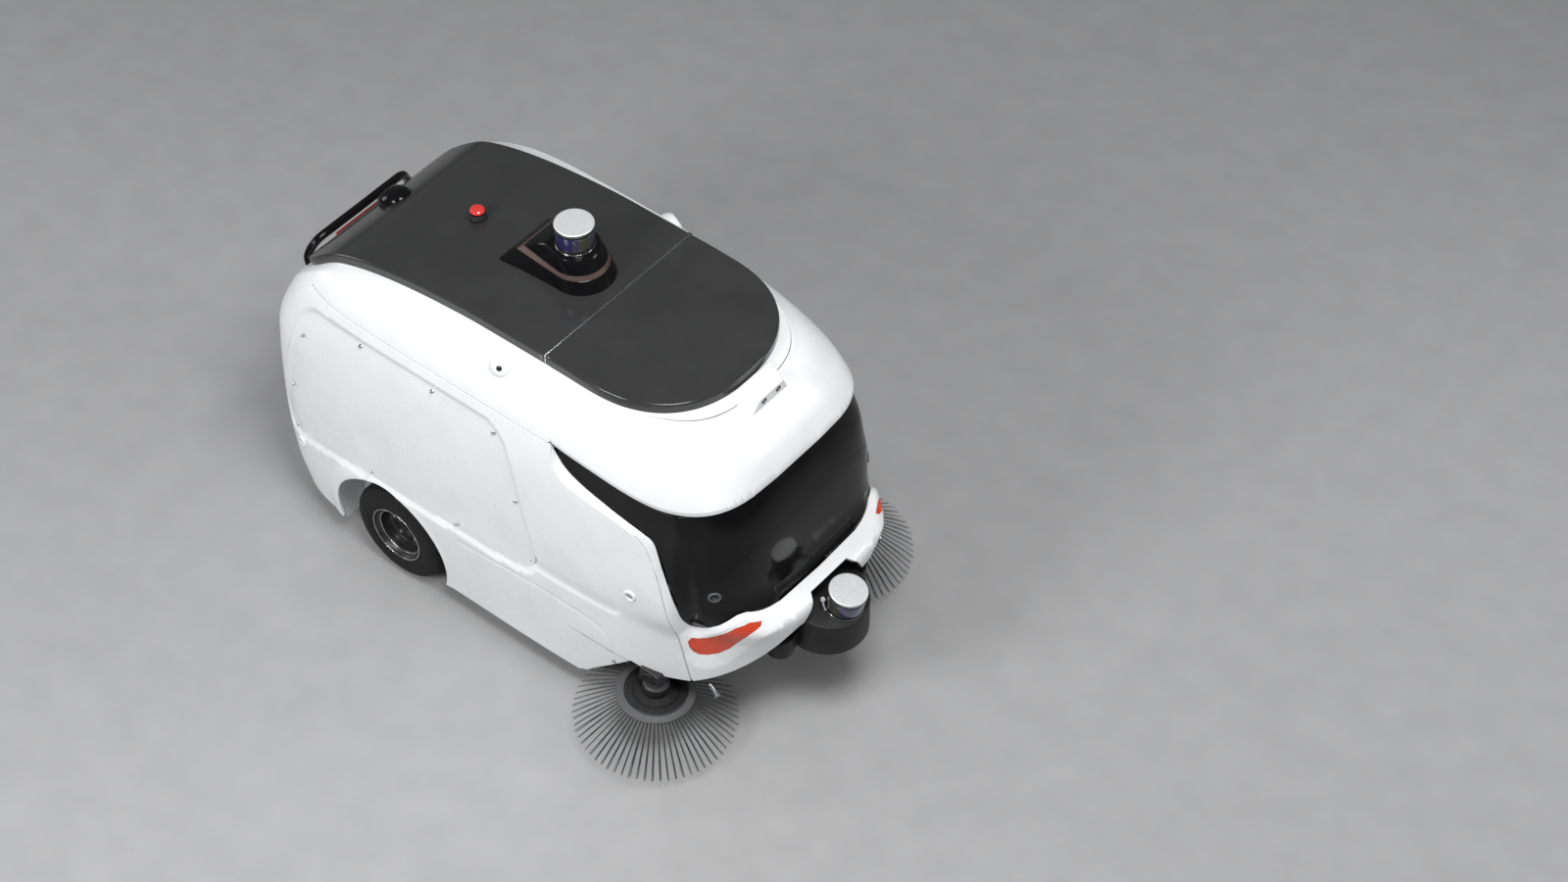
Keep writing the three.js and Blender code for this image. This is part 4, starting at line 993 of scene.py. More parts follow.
def add_body_panels():
    """Hood, windshield, bumper, light strips, sides, side doors, rear shell and hatch."""
    gap = 0.6
    end = math.pi * UNROLL
    hood_seam = side_line(HOOD_SEAM[1:])
    window_top = side_line(WINDOW_TOP)
    window_foot = side_line(WINDOW_FOOT)
    crease = side_line(LIP_CREASE)
    rear_seam = side_line(REAR_SEAM)
    seam_start = top_edge(hood_seam[0][0], hood_seam[0][0] + 1)[0]
    hood_seam = np.concatenate([[seam_start], hood_seam[hood_seam[:, 1] < seam_start[1] - 3]])

    def shrunk(loop, radius):
        return inset(row(loop, radius), gap)

    hood = np.concatenate([hood_seam, window_top[1:], top_edge(0.0, seam_start[0])])
    skin("hood_skin", hood_relief, [shrunk(hood, 3.0)], symmetric=True,
         extra=near_lines(WINDOW_TOP, (7, 13, 15), soft=2), replaces="hood")

    window = np.concatenate([window_top, window_foot[::-1][:-1]])
    plate_edges = [unrolled_end([(y, z) for z in np.arange(456, PLATE_TOP, 7)], True)
                   for y in (149, 152, 155, 158)]
    plate_edges += [unrolled_end([(y, z) for y in np.arange(0, 150, 7)], True)
                    for z in (515, 518, 521, 524)]
    skin("windshield_glass", window_relief, [shrunk(window, 1.5)], BLACK, "black_gloss", symmetric=True,
         extra=plate_edges, replaces="windshield")

    bumper_side = crease[::-1][1:-1]
    bumper = np.concatenate([window_foot, unrolled_end(resampled(NOTCH, 7), True),
                             side_line(BUMPER_FOOT, soft=1), bumper_side[bumper_side[:, 1] > 225]])
    light = row(unrolled(resampled(closed_line(softened_loop(LIGHT_OUTLINE, 1)), 6))[:-1], 1.0)
    ridge_lines = near_lines(LIP_FRONT, (-3, 0, 3)) + near_lines(BAND_FRONT, (-3, 0, 3))
    skin("front_bumper_skin", bumper_relief, [shrunk(bumper, 2.5), inset(light, -0.4)], symmetric=True,
         extra=ridge_lines, depth=9.0, replaces="front_bumper")
    skin("light_strip", lens_relief, [inset(light, 0.3)], REFLECTOR, "orange_reflector", both=True,
         depth=5.0, replaces="light")

    arch = arch_line()
    shoulder = side_line([(-675, 866), (172, 866)])
    skirt = np.concatenate([side_line(SKIRT_FRONT, soft=0),
                            unrolled(resampled([SKIRT_FRONT[-1], arch[0]], 8)), unrolled(arch),
                            unrolled(resampled([arch[-1], REAR_SEAM[-1]], 8))])
    side = np.concatenate([crease[1:][crease[1:, 1] > 222], skirt, rear_seam[::-1], shoulder[1:]])
    door = row(unrolled(resampled(closed_line(panel_loop), 7))[:-1], 0.5)
    side_lines = [*near_lines(BAND_TOP, (-4, -1.5, 1), soft=2), *near_lines(BAND_FOOT, (-1, 5, 11), soft=2),
                  *near_lines(SKIRT_LINE, (-3, 0, 3), soft=2), *near_lines(FLAP_LINE, (-4, 0), soft=2)]
    skin("side_skin", side_relief, [shrunk(side, 2.0), inset(door, -0.15)], both=True, extra=side_lines,
         replaces="side_body")
    skin("side_door", panel_relief, [inset(door, 0.15)], both=True, spacing=14.0, replaces="side_panel")

    rear_top = top_edge(seam_start[0], end)
    hatch = unrolled_end(resampled(HATCH, 8), False)
    hatch[np.abs(hatch[:, 0] - end) < 1e-3, 0] = end
    tail_foot = np.stack([np.linspace(rear_seam[-1][0], end, 40), np.full(40, SKIRT_BOTTOM)], 1)
    rear = np.concatenate([hood_seam[::-1][1:], rear_top[1:], hatch, tail_foot[::-1], rear_seam[::-1][1:],
                           shoulder[1:-1]])
    skin("rear_skin", no_relief, [shrunk(rear, 2.5)], symmetric=True, replaces="rear_shell")
    skin("hopper_hatch_skin", no_relief, [shrunk(hatch, 3.0)], body="hopper", symmetric=True,
         replaces="hopper_hatch")


def nearest_on(line, points):
    """Closest points of a line of straight pieces, in plan."""
    best = np.full(len(points), 1e9)
    found = np.zeros((len(points), 2))
    for a, b in zip(line, line[1:]):
        d = b - a
        t = np.clip(((points - a) @ d) / max(d @ d, 1e-12), 0, 1)
        foot = a + t[:, None] * d
        gap = np.linalg.norm(points - foot, axis=1)
        closer = gap < best
        best = np.where(closer, gap, best)
        found = np.where(closer[:, None], foot, found)
    return found


def roof_half_outline(inset_by, steps=40):
    """The roof's plan outline on the right side, from the nose to the tail, a distance in from its edge."""
    half, tail = ROOF_HALF - inset_by, ROOF_TAIL + inset_by
    turn = np.linspace(0, math.pi / 2, steps)
    nose = np.stack([ROOF_NOSE + (288 - inset_by) * np.cos(turn) ** 0.85, -half * np.sin(turn) ** 0.85], 1)
    corner = smooth_curve([(tail + 70, -half), (tail + 34, -half + 9), (tail + 9, -half + 34),
                           (tail, -half + 70)], 5)
    flank = resampled([(ROOF_NOSE, -half), (tail + 70, -half)], 14)[1:-1]
    return np.concatenate([nose, flank, corner, [(tail, 0.0)]])


def add_roof_ledge():
    """White ledge between the body's upper edge and the roof, in a front and a rear piece."""
    seam = unrolled([(85, 1014)])[0][0]
    line = roof_half_outline(26)
    for name, start, end in (("hood_ledge", 0.0, seam - 1), ("rear_ledge", seam + 1, math.pi * UNROLL)):
        edge = top_edge(start, end, 6.0)
        outer = plain_surface(edge[:, 0] / UNROLL, edge[:, 1])
        inner = nearest_on(line, outer[:, :2])
        inward = unit(np.column_stack([inner - outer[:, :2], np.zeros(len(inner))]))
        inner = np.column_stack([inner, roof_top(inner[:, 0]) - ROOF_DROP])
        outer = outer + inward * 0.9
        lip = outer + inward * 1.2
        down = np.array([0, 0, -1.0])
        rings = np.stack([outer + down * 4.5, outer + down * 0.9, lip + down * 0.2, inner + down * 0.2,
                          inner + down * 4.5], 1)
        mirrored = rings[::-1] * MIRROR
        if name == "hood_ledge":
            points, faces = stack(np.concatenate([mirrored[:-1], rings])[:, ::-1])
        else:
            points, faces = stack(np.concatenate([rings, mirrored[1:]]))
        add_mesh(name, points, oriented(points, faces), WHITE, sharp=50, slot="white_panel")


def add_roof():
    """The flat glossy roof: a fixed rear cover and a front lid, with a light seal in the seam."""
    def surface(x, y):
        return np.stack([x, y, roof_top(x)], -1)

    right = roof_half_outline(0)
    rear, front = ROOF_SEAM
    for name, body, half, seam in (("roof_cover", ROOT, right[right[:, 0] < rear], rear),
                                   ("front_lid", "front_lid", right[right[:, 0] > front][::-1], front)):
        outline = np.concatenate([half, half[-2::-1] * (1, -1)])
        ends = np.array([(seam, outline[0][1]), (seam, outline[-1][1])])
        outline = np.concatenate([ends[:1], outline, ends[1:], resampled([ends[1], ends[0]], 12)[1:-1]])
        radius = np.where(np.abs(outline[:, 0] - seam) < 0.5, 1.0, 7.0)
        loop = (outline, radius, np.zeros(len(outline), bool))
        panel(name + "_skin", surface, [loop], ROOF, body=body, spacing=22.0, step=(1.0, 1.0), outward=-1.0,
              depth=lambda normal: 28.8 * np.abs(normal[:, 2]), replaces=name, slot="black_gloss")
    seal = Build().add(*block(rear + 0.2, front - 0.2, -280.4, 280.4, 1016.5, 1046.4, 0.8))
    seal.piece("roof_seal", CHROME, slot="silver_metal")


# ---- roof and front sensors -------------------------------------------------------------------


def fairing_outline(z):
    """Outline of the fairing at one height: a round front and straight flanks running to a flat tail."""
    share = (z - 1040) / (1132.7 - 1040)
    centre, radius = -35 - 21 * share, 88 - 23 * share
    tail_share = np.clip((z - 1046) / 48, 0, 1)
    top_share = np.clip((z - 1094) / 38.7, 0, 1)
    tail = -238 + 57 * tail_share + 62 * top_share
    half = 92 - 34 * tail_share - 14 * top_share
    arc = np.radians(np.linspace(-98, 98, 41))
    front = np.stack([centre + radius * np.cos(arc), radius * np.sin(arc)], 1)
    reach = np.array([tail + 4, half + 1]) - front[-1]
    flank = np.array([front[-1] + reach * t for t in np.linspace(0, 1, 7)])[1:]
    back = np.array([(tail, half - 3 - (2 * half - 6) * t) for t in np.linspace(0, 1, 6)])
    return np.concatenate([front, flank, back, flank[::-1] * (1, -1)])


def add_fairing():
    """Black fairing under the roof lidar with a net band, and the cable exit behind it."""
    heights = [1040, 1060, 1078.8, 1079.6, 1080.4, 1094.2, 1095.0, 1095.8, 1110, 1124, 1129.5, 1132, 1132.9]
    insets = [0, 0, 0, 0, 0.9, 0.9, 0, 0, 0, 0, 0.5, 1.6, 4.0]
    rings = []
    for z, move in zip(heights, insets):
        outline = fairing_outline(z)
        moved, _, _ = inset((outline, None, np.zeros(len(outline), bool)), move)
        rings.append(np.column_stack([moved, np.full(len(moved), z)]))
    points, faces = stack(rings)
    shell = Build().add(points, oriented(points, faces))
    shell.tag_faces(lambda corners: 1 if 1080.4 < corners[:, 2].mean() < 1094.2 else 0)
    shell.piece("fairing_shell", [BLACK, BAND], replaces=["lidar_fairing"], slot="black_gloss", sharp=30)
    elbow = Build().add(*tube([(-104, 18, 1150), (-116, 20, 1152), (-126, 22, 1146), (-128, 22, 1128)], 6.5))
    elbow.piece("lidar_cable_elbow", SATIN, slot="black_plastic")


def add_lidar(prefix, origin, tilt):
    """Puck lidar: base and cap on a black core, and an infrared window around the turning head."""
    axis = (math.sin(tilt), 0, math.cos(tilt))
    profile = [(0, 0), (50.5, 0), (51.7, 1.4), (51.7, 5.2), (50.2, 6.2), (50.2, 13), (48, 14), (28, 14),
               (28, 55.5), (49.2, 55.5), (50.4, 57), (50.4, 62), (51.7, 63), (51.7, 69.4), (49.8, 71.7),
               (47.5, 72), (0, 72)]
    case = Build().add(*lathe(profile, 96, 0.5))
    levels = (5.6, 62.5, 70)       # tops of the base, the core and the knurled band
    case.tag_faces(lambda corners: (0, 1, 3, 2)[np.searchsorted(levels, corners[:, 2].mean(), "right")])
    case.points = turned_to(axis, case.points, origin).tolist()
    case.piece(f"{prefix}_lidar_case", [CHROME, SATIN, CAP, STEEL], replaces=[f"{prefix}_lidar_housing"],
               slot="silver_metal")
    glass = Build().turned([(46.6, 14.4), (50.6, 14.4), (50.6, 55.1), (46.6, 55.1)], 96, 0.8, axis, origin,
                           closed=True)
    glass.piece(f"{prefix}_lidar_glass", WINDOW, replaces=[f"{prefix}_lidar_window"], slot="sensor_window")


def add_front_pod():
    """Round pod under the bumper that carries the front lidar, with a clamp knob."""
    turn = np.linspace(0, 2 * math.pi, 96, endpoint=False)
    circle = np.stack([np.cos(turn), np.sin(turn)], 1)
    rings = []
    for radius, height in filleted([(0.02, 270), (108, 270), (110, 272), (110, 1000)], 2.0)[:-1]:
        flat = circle * radius + (POD_X, 0)
        rings.append(np.column_stack([flat, np.full(len(flat), height)]))
    for radius, drop in ((110, 3.5), (109.6, 1.8), (108.5, 0.6), (106.5, 0), (0.02, 0)):
        flat = circle * radius + (POD_X, 0)
        top = FRONT_LIDAR[2] - 0.4 - (flat[:, 0] - FRONT_LIDAR[0]) * math.tan(LIDAR_TILT)
        rings.append(np.column_stack([flat, top - drop]))
    pod = Build().add(*stack(rings)).add(*block(701, 751, -147, 147, 276.5, 333.5, 3))
    for _, side in SIDES:
        pod.turned([(0, 276.5), (37, 276.5), (37, 333.5), (0, 333.5)], 48, 3, at=(722, side * 148, 0))
    pod.piece("front_pod_shell", SATIN, replaces=["front_pod"], slot="black_plastic")
    knob = Build().add(*tube([(787, -47, 386), (781, -47, 402), (777, -44, 412)], 3.2))
    knob.turned([(0, -4), (6.5, -4), (6.5, 4), (0, 4)], 24, 1.5, (0.5, -0.6, 0.6), (776, -43, 415))
    knob.piece("front_lidar_knob", CAP, slot="silver_metal")


def add_lens(build, at, look, radius):
    """A small camera lens: a ring and a domed glass."""
    build.turned([(radius * 0.75, -3), (radius * 1.3, -3), (radius * 1.3, 0.8), (radius * 0.75, 0.8)],
                 32, 0.3, look, at, 0, closed=True)
    build.turned([(0, -3), (radius * 0.8, -3), (radius * 0.8, 0), (radius * 0.5, 0.6), (0, 0.8)],
                 32, 0.2, look, at, 1)


def flattened(points, centre, look, cut, share):
    """Presses what lies beyond a plane across the view direction back towards it."""
    over = np.maximum((points - centre) @ look - cut, 0)
    return points - np.outer(over * share, look)


def add_cameras():
    """Stereo camera brow, side camera domes and rear camera hood, with their lenses."""
    foot = [(480, side * 98, 952) for side in (-1, 1)] + [(568, side * 78, 956) for side in (-1, 1)]
    top = [(506, side * 81, 1015) for side in (-1, 1)] + [(577, side * 44, 1019) for side in (-1, 1)]
    brow = add_mesh("stereo_brow", *hull_of(top + foot), WHITE, replaces=["stereo_camera"],
                    slot="white_panel", sharp=20)
    softened_edges(brow, 2.5)
    lenses = Build()
    for _, side in SIDES:
        add_lens(lenses, (574.8, side * 27, 1000), (0.986, 0, -0.16), 6.6)
    lenses.piece("stereo_lenses", [SATIN, LENS], slot="black_plastic")

    for label, side in SIDES:
        centre = np.array([-24.0, side * 319, 975.0])
        points, faces = ellipsoid(centre, (36, 32, 36))
        look = np.array([0.35, side * 0.86, 0.36])
        look /= np.linalg.norm(look)
        add_mesh(f"side_camera_dome_{label}", flattened(points, centre, look, 26, 0.94), faces, WHITE,
                 replaces=[f"side_camera_{label}"], slot="white_panel", sharp=35)
        lens = Build()
        add_lens(lens, centre + look * 27.2, look, 5.6)
        lens.piece(f"side_camera_lens_{label}", [SATIN, LENS], slot="black_plastic")

    x = -700.0
    centre = np.array([x, 0.0, roof_top(x) + 1])
    points, faces = ellipsoid(centre, (54, 45, 32), -0.5)
    look = np.array([-0.88, 0, 0.475])
    points = flattened(points, centre, look, 30, 0.92)
    points[:, 2] = np.maximum(points[:, 2], roof_top(points[:, 0]) + 0.4)
    add_mesh("rear_camera_hood", points, faces, BLACK, replaces=["rear_camera"], slot="black_gloss", sharp=30)
    lens = Build()
    add_lens(lens, centre + look * 31.5, look, 7.0)
    lens.piece("rear_camera_lens", [SATIN, LENS], slot="black_plastic")


def add_controls():
    """Emergency stop, push handle and tail lamp."""
    base = (ESTOP_X, 0, roof_top(ESTOP_X) + 2)
    collar = Build().turned([(11, -1.6), (24, -1.6), (24, 7), (22, 9), (22, 13), (19.5, 16), (11, 16)],
                            64, 0.8, at=base, closed=True)
    collar.piece("estop_base", SATIN, replaces=["estop_collar"], slot="black_plastic")
    button = Build().turned([(0, 8), (9.6, 8), (9.6, 22), (17, 22), (19.8, 23.4), (20, 26.5), (18.5, 29.5),
                             (14, 32.4), (7, 33.8), (0, 34)], 64, 0.7, at=base)
    button.piece("estop_mushroom", RED, body="estop", replaces=["estop_button"], slot="red_button")
    half = [(-838, -200, 728), (-852, -190, 752), (-842, -164, 790), (-834, -110, 803)]
    path = [*half, (-832, 0, 805), *[(x, -y, z) for x, y, z in half[::-1]]]
    handle = Build().add(*tube(path, 11.8, 28))
    handle.piece("handle_bar", BLACK, replaces=["push_handle"], slot="black_gloss")
    lamp = []
    for turn in np.linspace(0.17, -0.17, 9):
        at = plain_surface(np.array(math.pi - abs(turn)), np.array(792.0))
        lamp.append(at * (1, 1 if turn >= 0 else -1, 1) + (1.5, 0, 0))
    strip = Build().add(*tube(lamp, 6.5))
    strip.piece("tail_lamp_strip", TAIL_LAMP, slot="red_button")


def on_body(surface, x, z, side):
    """Point and outward direction on the body at a side-view place."""
    u, v = unrolled([(x, z)]).T
    flip = MIRROR if side > 0 else 1
    return surface(u, v)[0] * flip, surface_normal(surface, u, v, 0.2, 0.2)[0] * flip


def add_trim():
    """Screws, distance sensors and small sensors let into the windshield."""
    side_surface = body_surface(side_relief)
    glass_surface = body_surface(window_relief)
    screws = [(-691, 704), (-762, 474), (-470, 806), (-219, 806), (-9, 794), (66, 602), (-759, 321),
              (-463, 358), (-151, 371), (109, 403), (365, 183)]
    head = [(0, -1), (6.2, -1), (6.2, 0.9), (4.8, 2.2), (2.2, 2.5), (2.0, 1.4), (0, 1.4)]
    ring = [(9.5, -2), (18, -2), (18, 1.0), (15.5, 5.0), (12, 5.0), (9.5, 1.0)]
    core = [(0, -2), (9.2, -2), (9.2, 0.8), (8.0, 1.8), (0, 2.2)]
    eye_ring = [(9, -3), (18, -3), (18, 0.8), (15, 4.2), (11.5, 2.4), (9, -0.5)]
    eye = [(0, -3), (9, -3), (9, -0.6), (5, 3.2), (0, 4.4)]
    slit, slit_faces = lathe([(0, -2), (7, -2), (7, 0.3), (5.6, 1.2), (0, 1.2)], 24, 0.4)
    for label, side in SIDES:
        build = Build()
        for x, z in screws:
            at, look = on_body(side_surface, x, z, side)
            build.turned(head, 24, 0.4, look, at)
        build.piece(f"panel_screws_{label}", CHROME, slot="silver_metal")
        build = Build()
        for x, z in ((-748, 264), (441, 508)):
            at, look = on_body(side_surface, x, z, side)
            build.turned(ring, 48, 0.8, look, at, closed=True)
            build.turned(core, 40, 0.3, look, at, 1)
        build.piece(f"distance_sensors_{label}", [WHITE, TANK], slot="white_panel")
        build = Build()
        # The eye rings' lighter grey is a painted highlight
        at, look = on_body(glass_surface, 656, 567, side)
        build.turned(eye_ring, 48, 0.6, look, at, closed=True)
        build.turned(eye, 40, 0.3, look, at, 1)
        at, look = on_body(glass_surface, 612, 482, side)
        build.add(turned_to(look, slit * (0.55, 1.7, 1), at), slit_faces)
        build.piece(f"windshield_sensors_{label}", [RING_GREY_AND_SENSOR_HIGHLIGHT, LENS], slot="black_plastic")


# ---- running gear -----------------------------------------------------------------------------


def add_brush_brackets():
    """Small silver angle under the bumper's foot beside each brush."""
    for label, side in SIDES:
        path = [(646, side * 338, 254), (656, side * 339, 246), (668, side * 340, 233)]
        bracket = Build().add(*tube(path, 4.2, 16))
        bracket.turned([(0, -3), (8, -3), (8, 3), (0, 3)], 6, 0.8, (0.7, 0, -0.7), (670, side * 340, 231))
        bracket.piece(f"brush_bracket_{label}", CHROME, slot="silver_metal")


def add_arch_liners():
    """Wheel arch liners behind the side bodies: a bent sheet and a flat web with a hole for the axle."""
    half = math.asin((ARCH["z"] - SKIRT_BOTTOM) / ARCH["radius"])
    turn = np.linspace(-half, math.pi + half, 64)
    x = ARCH["x"] + ARCH["radius"] * np.cos(turn)
    z = np.maximum(ARCH["z"] + ARCH["radius"] * np.sin(turn), SKIRT_BOTTOM)
    edge = half_breadth(x, z, REAR_SQUARENESS) - 5
    out = np.stack([np.cos(turn), np.zeros(len(turn)), np.sin(turn)], 1)
    rim = np.stack([x, -edge, z], 1)
    root = np.stack([x, np.full(len(x), -308.0), z], 1)
    points, faces = stack(np.stack([root, rim, rim + out * 3.5, root + out * 3.5], 1))
    web_outline = np.stack([x + out[:, 0] * 2, z + out[:, 2] * 2], 1)
    around = np.linspace(0, 2 * math.pi, 40, endpoint=False)
    hole = np.stack([REAR_AXLE[0] + 26 * np.cos(around), REAR_AXLE[1] + 26 * np.sin(around)], 1)
    flat, triangles, where = triangulated([web_outline, hole], 60.0, [])
    web, web_faces = thick_sheet(flat, triangles, where, [len(web_outline), len(hole)], -312.0, -308.0)
    for label, side in SIDES:
        flip = MIRROR if side > 0 else 1
        build = Build()
        build.add(points * flip, oriented(points * flip, faces))
        build.add(web * flip, oriented(web * flip, web_faces))
        # The liner's darker grey is painted shade inside the arch
        build.piece(f"arch_liner_{label}", SHADED_LINER, slot="white_panel", sharp=40)


def add_wheels():
    """Rear tyres and dished rims."""
    tyre = [(86, 6), (90, 3.2), (112, 1), (132, 4.5), (144, 12), (149, 24), (149, 61), (144, 73), (132, 80.5),
            (118, 83.4), (114, 83), (111, 84.2), (99, 83.2), (96, 81), (90, 81.6), (86, 79)]
    dish = [(0, 24), (50, 24), (64, 16), (74, 9), (85.6, 8), (85.6, 79), (83.5, 81.2), (81, 79), (79, 73),
            (74, 68), (72.5, 66), (70.5, 68), (68.5, 66.5), (67, 54), (62, 40), (56, 36.5), (0, 36.5)]
    shaft = [(0, -84), (11, -84), (11, 25), (0, 25)]
    nut = [(0, 36), (6.6, 36), (6.6, 41.5), (5.4, 42.6), (0, 42.6)]
    plug = [(0, 36), (4, 36), (4, 37.4), (0, 37.4)]
    hub = [(0, 36), (24, 36), (24, 39), (20, 40.5), (0, 40.5)]
    cap = [(0, 40), (15, 40), (15, 41.6), (13, 42.2), (0, 42.2)]
    nuts = 5
    for label, side in SIDES:
        axis = (0, side, 0)
        origin = np.array([REAR_AXLE[0], side * REAR_TRACK_HALF, REAR_AXLE[1]])
        body = f"rear_wheel_{label}"
        rubber = Build().turned(tyre, 112, 3.0, axis, origin, closed=True)
        rubber.piece(f"tyre_{label}", RUBBER, body=body, replaces=[f"rear_tyre_{label}"], slot="tyre_rubber")
        rim = Build().turned(dish, 112, 1.2, axis, origin)
        rim.turned(shaft, 32, 1, axis, origin)
        for i in range(nuts):
            angle = 2 * math.pi * (i + 0.3) / nuts
            for profile, sides, out, turn, tag in ((nut, 6, 45, angle, 1), (plug, 20, 57, angle + 0.63, 2)):
                at = turned_to(axis, (out * math.cos(turn), out * math.sin(turn), 0), origin)
                rim.turned(profile, sides, 0.2, axis, at, tag)
        rim.turned(hub, 48, 0.8, axis, origin)
        rim.turned(cap, 4, 0.2, axis, origin, 2)
        for radius, height in ((83.6, 81.0), (70.6, 68.0)):
            bead = [(radius - 1.1, height - 2), (radius + 1.1, height - 2), (radius + 1.1, height),
                    (radius, height + 0.7), (radius - 1.1, height)]
            rim.turned(bead, 112, 0.4, axis, origin, 3, closed=True)
        rim.piece(f"rim_{label}", [WHEEL_PAINT, STEEL, BLACK, CHROME], body=body,
                  replaces=[f"rear_rim_{label}"], slot="rim_metal")


def brush_place(side):
    """Turn and origin of a side brush: the disc leans forward and outward a little."""
    turn = Matrix.Rotation(-side * math.radians(1.1), 3, "X") @ Matrix.Rotation(math.radians(3.9), 3, "Y")
    x, y, z = BRUSH_HUB
    return np.array(turn), np.array([x, side * y, z])


def filament(middle, spread, random):
    """One bristle of a tuft: a thin four-sided rod that droops outwards from the disc."""
    angle = middle + spread * 0.0085
    tip_angle = middle + spread * 0.0125 + random.uniform(-0.004, 0.004)
    tip = random.uniform(213, 220)
    share = np.array([0, 0.35, 0.7, 1.0])
    radius = 90 + (tip - 90) * share
    height = 92 - 86.5 * (0.86 * share + 0.14 * share ** 2.2)
    at = angle + (tip_angle - angle) * share
    centres = np.stack([radius * np.cos(at), radius * np.sin(at), height], 1)
    across = np.array([-math.sin(middle), math.cos(middle), 0])
    up = np.array([0, 0, 1.0])
    thick = (0.95, 0.9, 0.8, 0.55)
    return stack([[c - across * w, c - up * w, c + across * w, c + up * w] for c, w in zip(centres, thick)])


def add_side_brushes():
    """Side brush discs, bristles and the gearboxes over them."""
    disc = [(0, 96.2), (101, 96.2), (104, 97.5), (104, 100.5), (102.5, 102), (86, 105.2), (84, 108.4),
            (82, 109.4), (62, 109.4), (58, 107.8), (30, 110), (24, 115.6), (0, 115.8)]
    tufts = 66
    for label, side in SIDES:
        turn, origin = brush_place(side)
        plate = Build().add(*lathe(disc, 112, 0.8))
        plate.tag_faces(lambda corners: int(corners[:, 2].mean() > 98
                                            and np.hypot(*corners[:, :2].T).max() > 84.5))
        plate.points = (np.array(plate.points) @ turn.T + origin).tolist()
        plate.piece(f"brush_plate_{label}", [SATIN, RING_GREY_AND_SENSOR_HIGHLIGHT], body=f"brush_{label}",
                    replaces=[f"brush_disc_{label}"], slot="black_plastic")
        bristles = Build()
        random = np.random.default_rng(7)
        for tuft in range(tufts):
            for spread in (-0.9, -0.3, 0.3, 0.9):
                points, faces = filament(2 * math.pi * (tuft + 0.5) / tufts, spread, random)
                bristles.add(points @ turn.T + origin, oriented(points, faces))
        bristles.piece(f"brush_filaments_{label}", BRISTLE, body=f"brush_{label}",
                       replaces=[f"brush_bristles_{label}"], slot="bristle")
        lift = f"brush_lift_{label}"
        corners = [(x, side * y, z) for x, z, low, high in ((446, 178, 352, 392), (520, 172, 352, 392),
                                                           (452, 226, 356, 388), (512, 222, 356, 388))
                   for y in (high, low)]
        gearbox = add_mesh(f"brush_gearbox_{label}", *hull_of(corners), MOTOR, body=lift, slot="motor_case",
                           sharp=25)
        softened_edges(gearbox, 4)
        cover = Build().turned([(0, 0), (21, 0), (21, 3), (18.5, 5), (14, 5), (13, 4), (0, 4)], 40, 0.6,
                               (0.15, side * 0.98, 0.1), (482, side * 391.5, 200))
        cover.piece(f"brush_gearbox_cover_{label}", SATIN, body=lift, slot="black_plastic")


add_body_panels()
add_roof_ledge()
add_roof()
add_fairing()
add_lidar("roof", ROOF_LIDAR, 0.0)
add_lidar("front", FRONT_LIDAR, LIDAR_TILT)
add_front_pod()
add_cameras()
add_controls()
add_trim()
add_brush_brackets()
add_arch_liners()
add_wheels()
add_side_brushes()

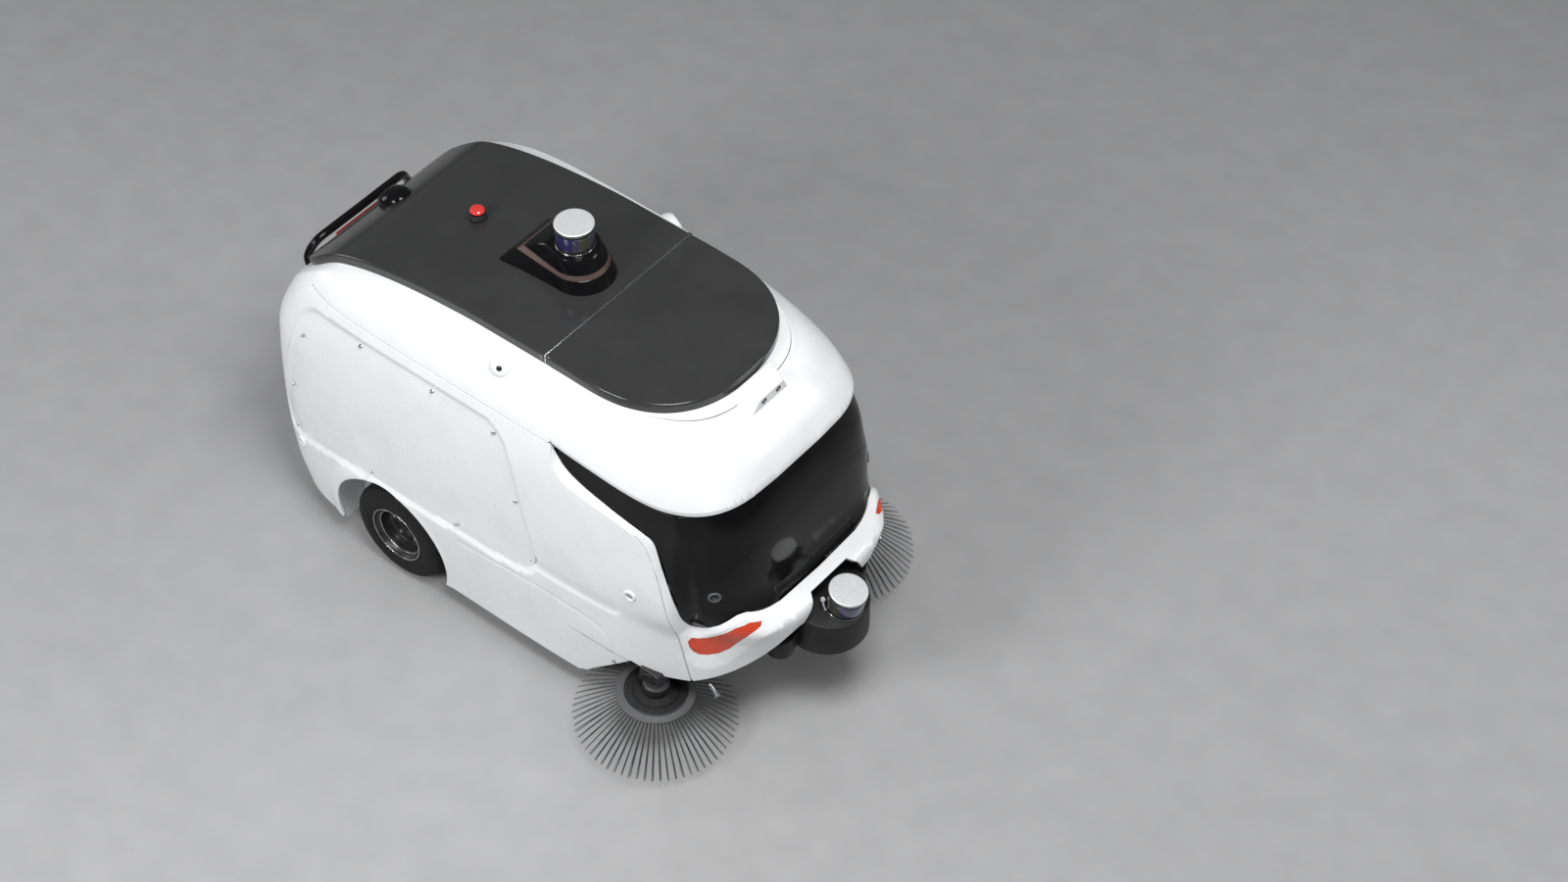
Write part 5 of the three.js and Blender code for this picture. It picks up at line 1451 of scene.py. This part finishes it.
# ---- nodes that keep their CAD shape ----------------------------------------------------------
FINISH = {
    MOTOR: ("drive_motor_right", "drive_motor_left", "steering_motor", "roller_motor", "brush_motor_right",
            "brush_motor_left", "brush_arm_right", "brush_arm_left"),
    FRAME_METAL: ("chassis_frame", "upper_frame", "roller_core", "control_box"),
    STEEL: ("steering_fork", "steering_gear", "steering_pinion", "roller_arm"),
    TANK: ("hopper_bin", "water_tank"),
    SATIN: ("battery_pack", "fan_housing", "fan_impeller", "roof_lidar_rotor", "front_lidar_rotor"),
    RUBBER: ("front_tyre",),
    WHEEL_PAINT: ("front_rim",),
    BRISTLE: ("roller_bristles",),
}
for finish, names in FINISH.items():
    for name in names:
        node = NODES[name]
        node.data.materials.clear()
        node.data.materials.append(finish)
        softened_edges(node, 1.5, 2)

# ---- camera, light and floor ------------------------------------------------------------------
camera_data = bpy.data.cameras.new("view")
camera_data.lens = 78.75
camera_data.sensor_width = 36.0
camera = bpy.data.objects.new("view", camera_data)
bpy.context.scene.collection.objects.link(camera)
camera.location = (4.2527, -4.486, 7.070)
camera.rotation_euler = (math.radians(90 - 47.10), 0, math.radians(38.97))
bpy.context.scene.camera = camera


def add_light(name, location, aim, size, power):
    """A soft square light, turned to a point."""
    data = bpy.data.lights.new(name, "AREA")
    data.size = size
    data.energy = power
    light = bpy.data.objects.new(name, data)
    bpy.context.scene.collection.objects.link(light)
    light.location = location
    light.rotation_euler = (Vector(location) - Vector(aim)).to_track_quat("Z", "Y").to_euler()
    light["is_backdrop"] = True


add_light("top_front", (1.7, -0.9, 5.0), (0.2, 0, 0.6), 1.7, 168)
add_light("top_side", (-0.6, -4.0, 3.4), (0, 0, 0.7), 1.5, 132)
add_light("far_front", (4.2, 2.6, 2.6), (0.5, 0, 0.5), 1.6, 62)
add_light("rear_rim", (-4.6, -1.6, 2.0), (0, 0, 0.7), 1.6, 38)
world = bpy.data.worlds.new("studio")
world.use_nodes = True
world.node_tree.nodes["Background"].inputs["Color"].default_value = (0.80, 0.81, 0.83, 1)
world.node_tree.nodes["Background"].inputs["Strength"].default_value = 0.22
bpy.context.scene.world = world
bpy.context.scene.view_settings.view_transform = "Standard"

FLOOR_HALF = 40.0
floor_corners = [(x * FLOOR_HALF, y * FLOOR_HALF, -0.001) for x, y in ((-1, -1), (1, -1), (1, 1), (-1, 1))]
floor_mesh = bpy.data.meshes.new("floor")
floor_mesh.from_pydata(floor_corners, [], [(0, 1, 2, 3)])
floor = bpy.data.objects.new("floor", floor_mesh)
bpy.context.scene.collection.objects.link(floor)
floor_mesh.materials.append(grained("floor_paint", (0.36, 0.36, 0.365), (0.39, 0.39, 0.395), (0.55, 0.65)))
floor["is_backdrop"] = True

[[list(map(float, corner)) for corner in box] for box in (cad_box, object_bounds())]
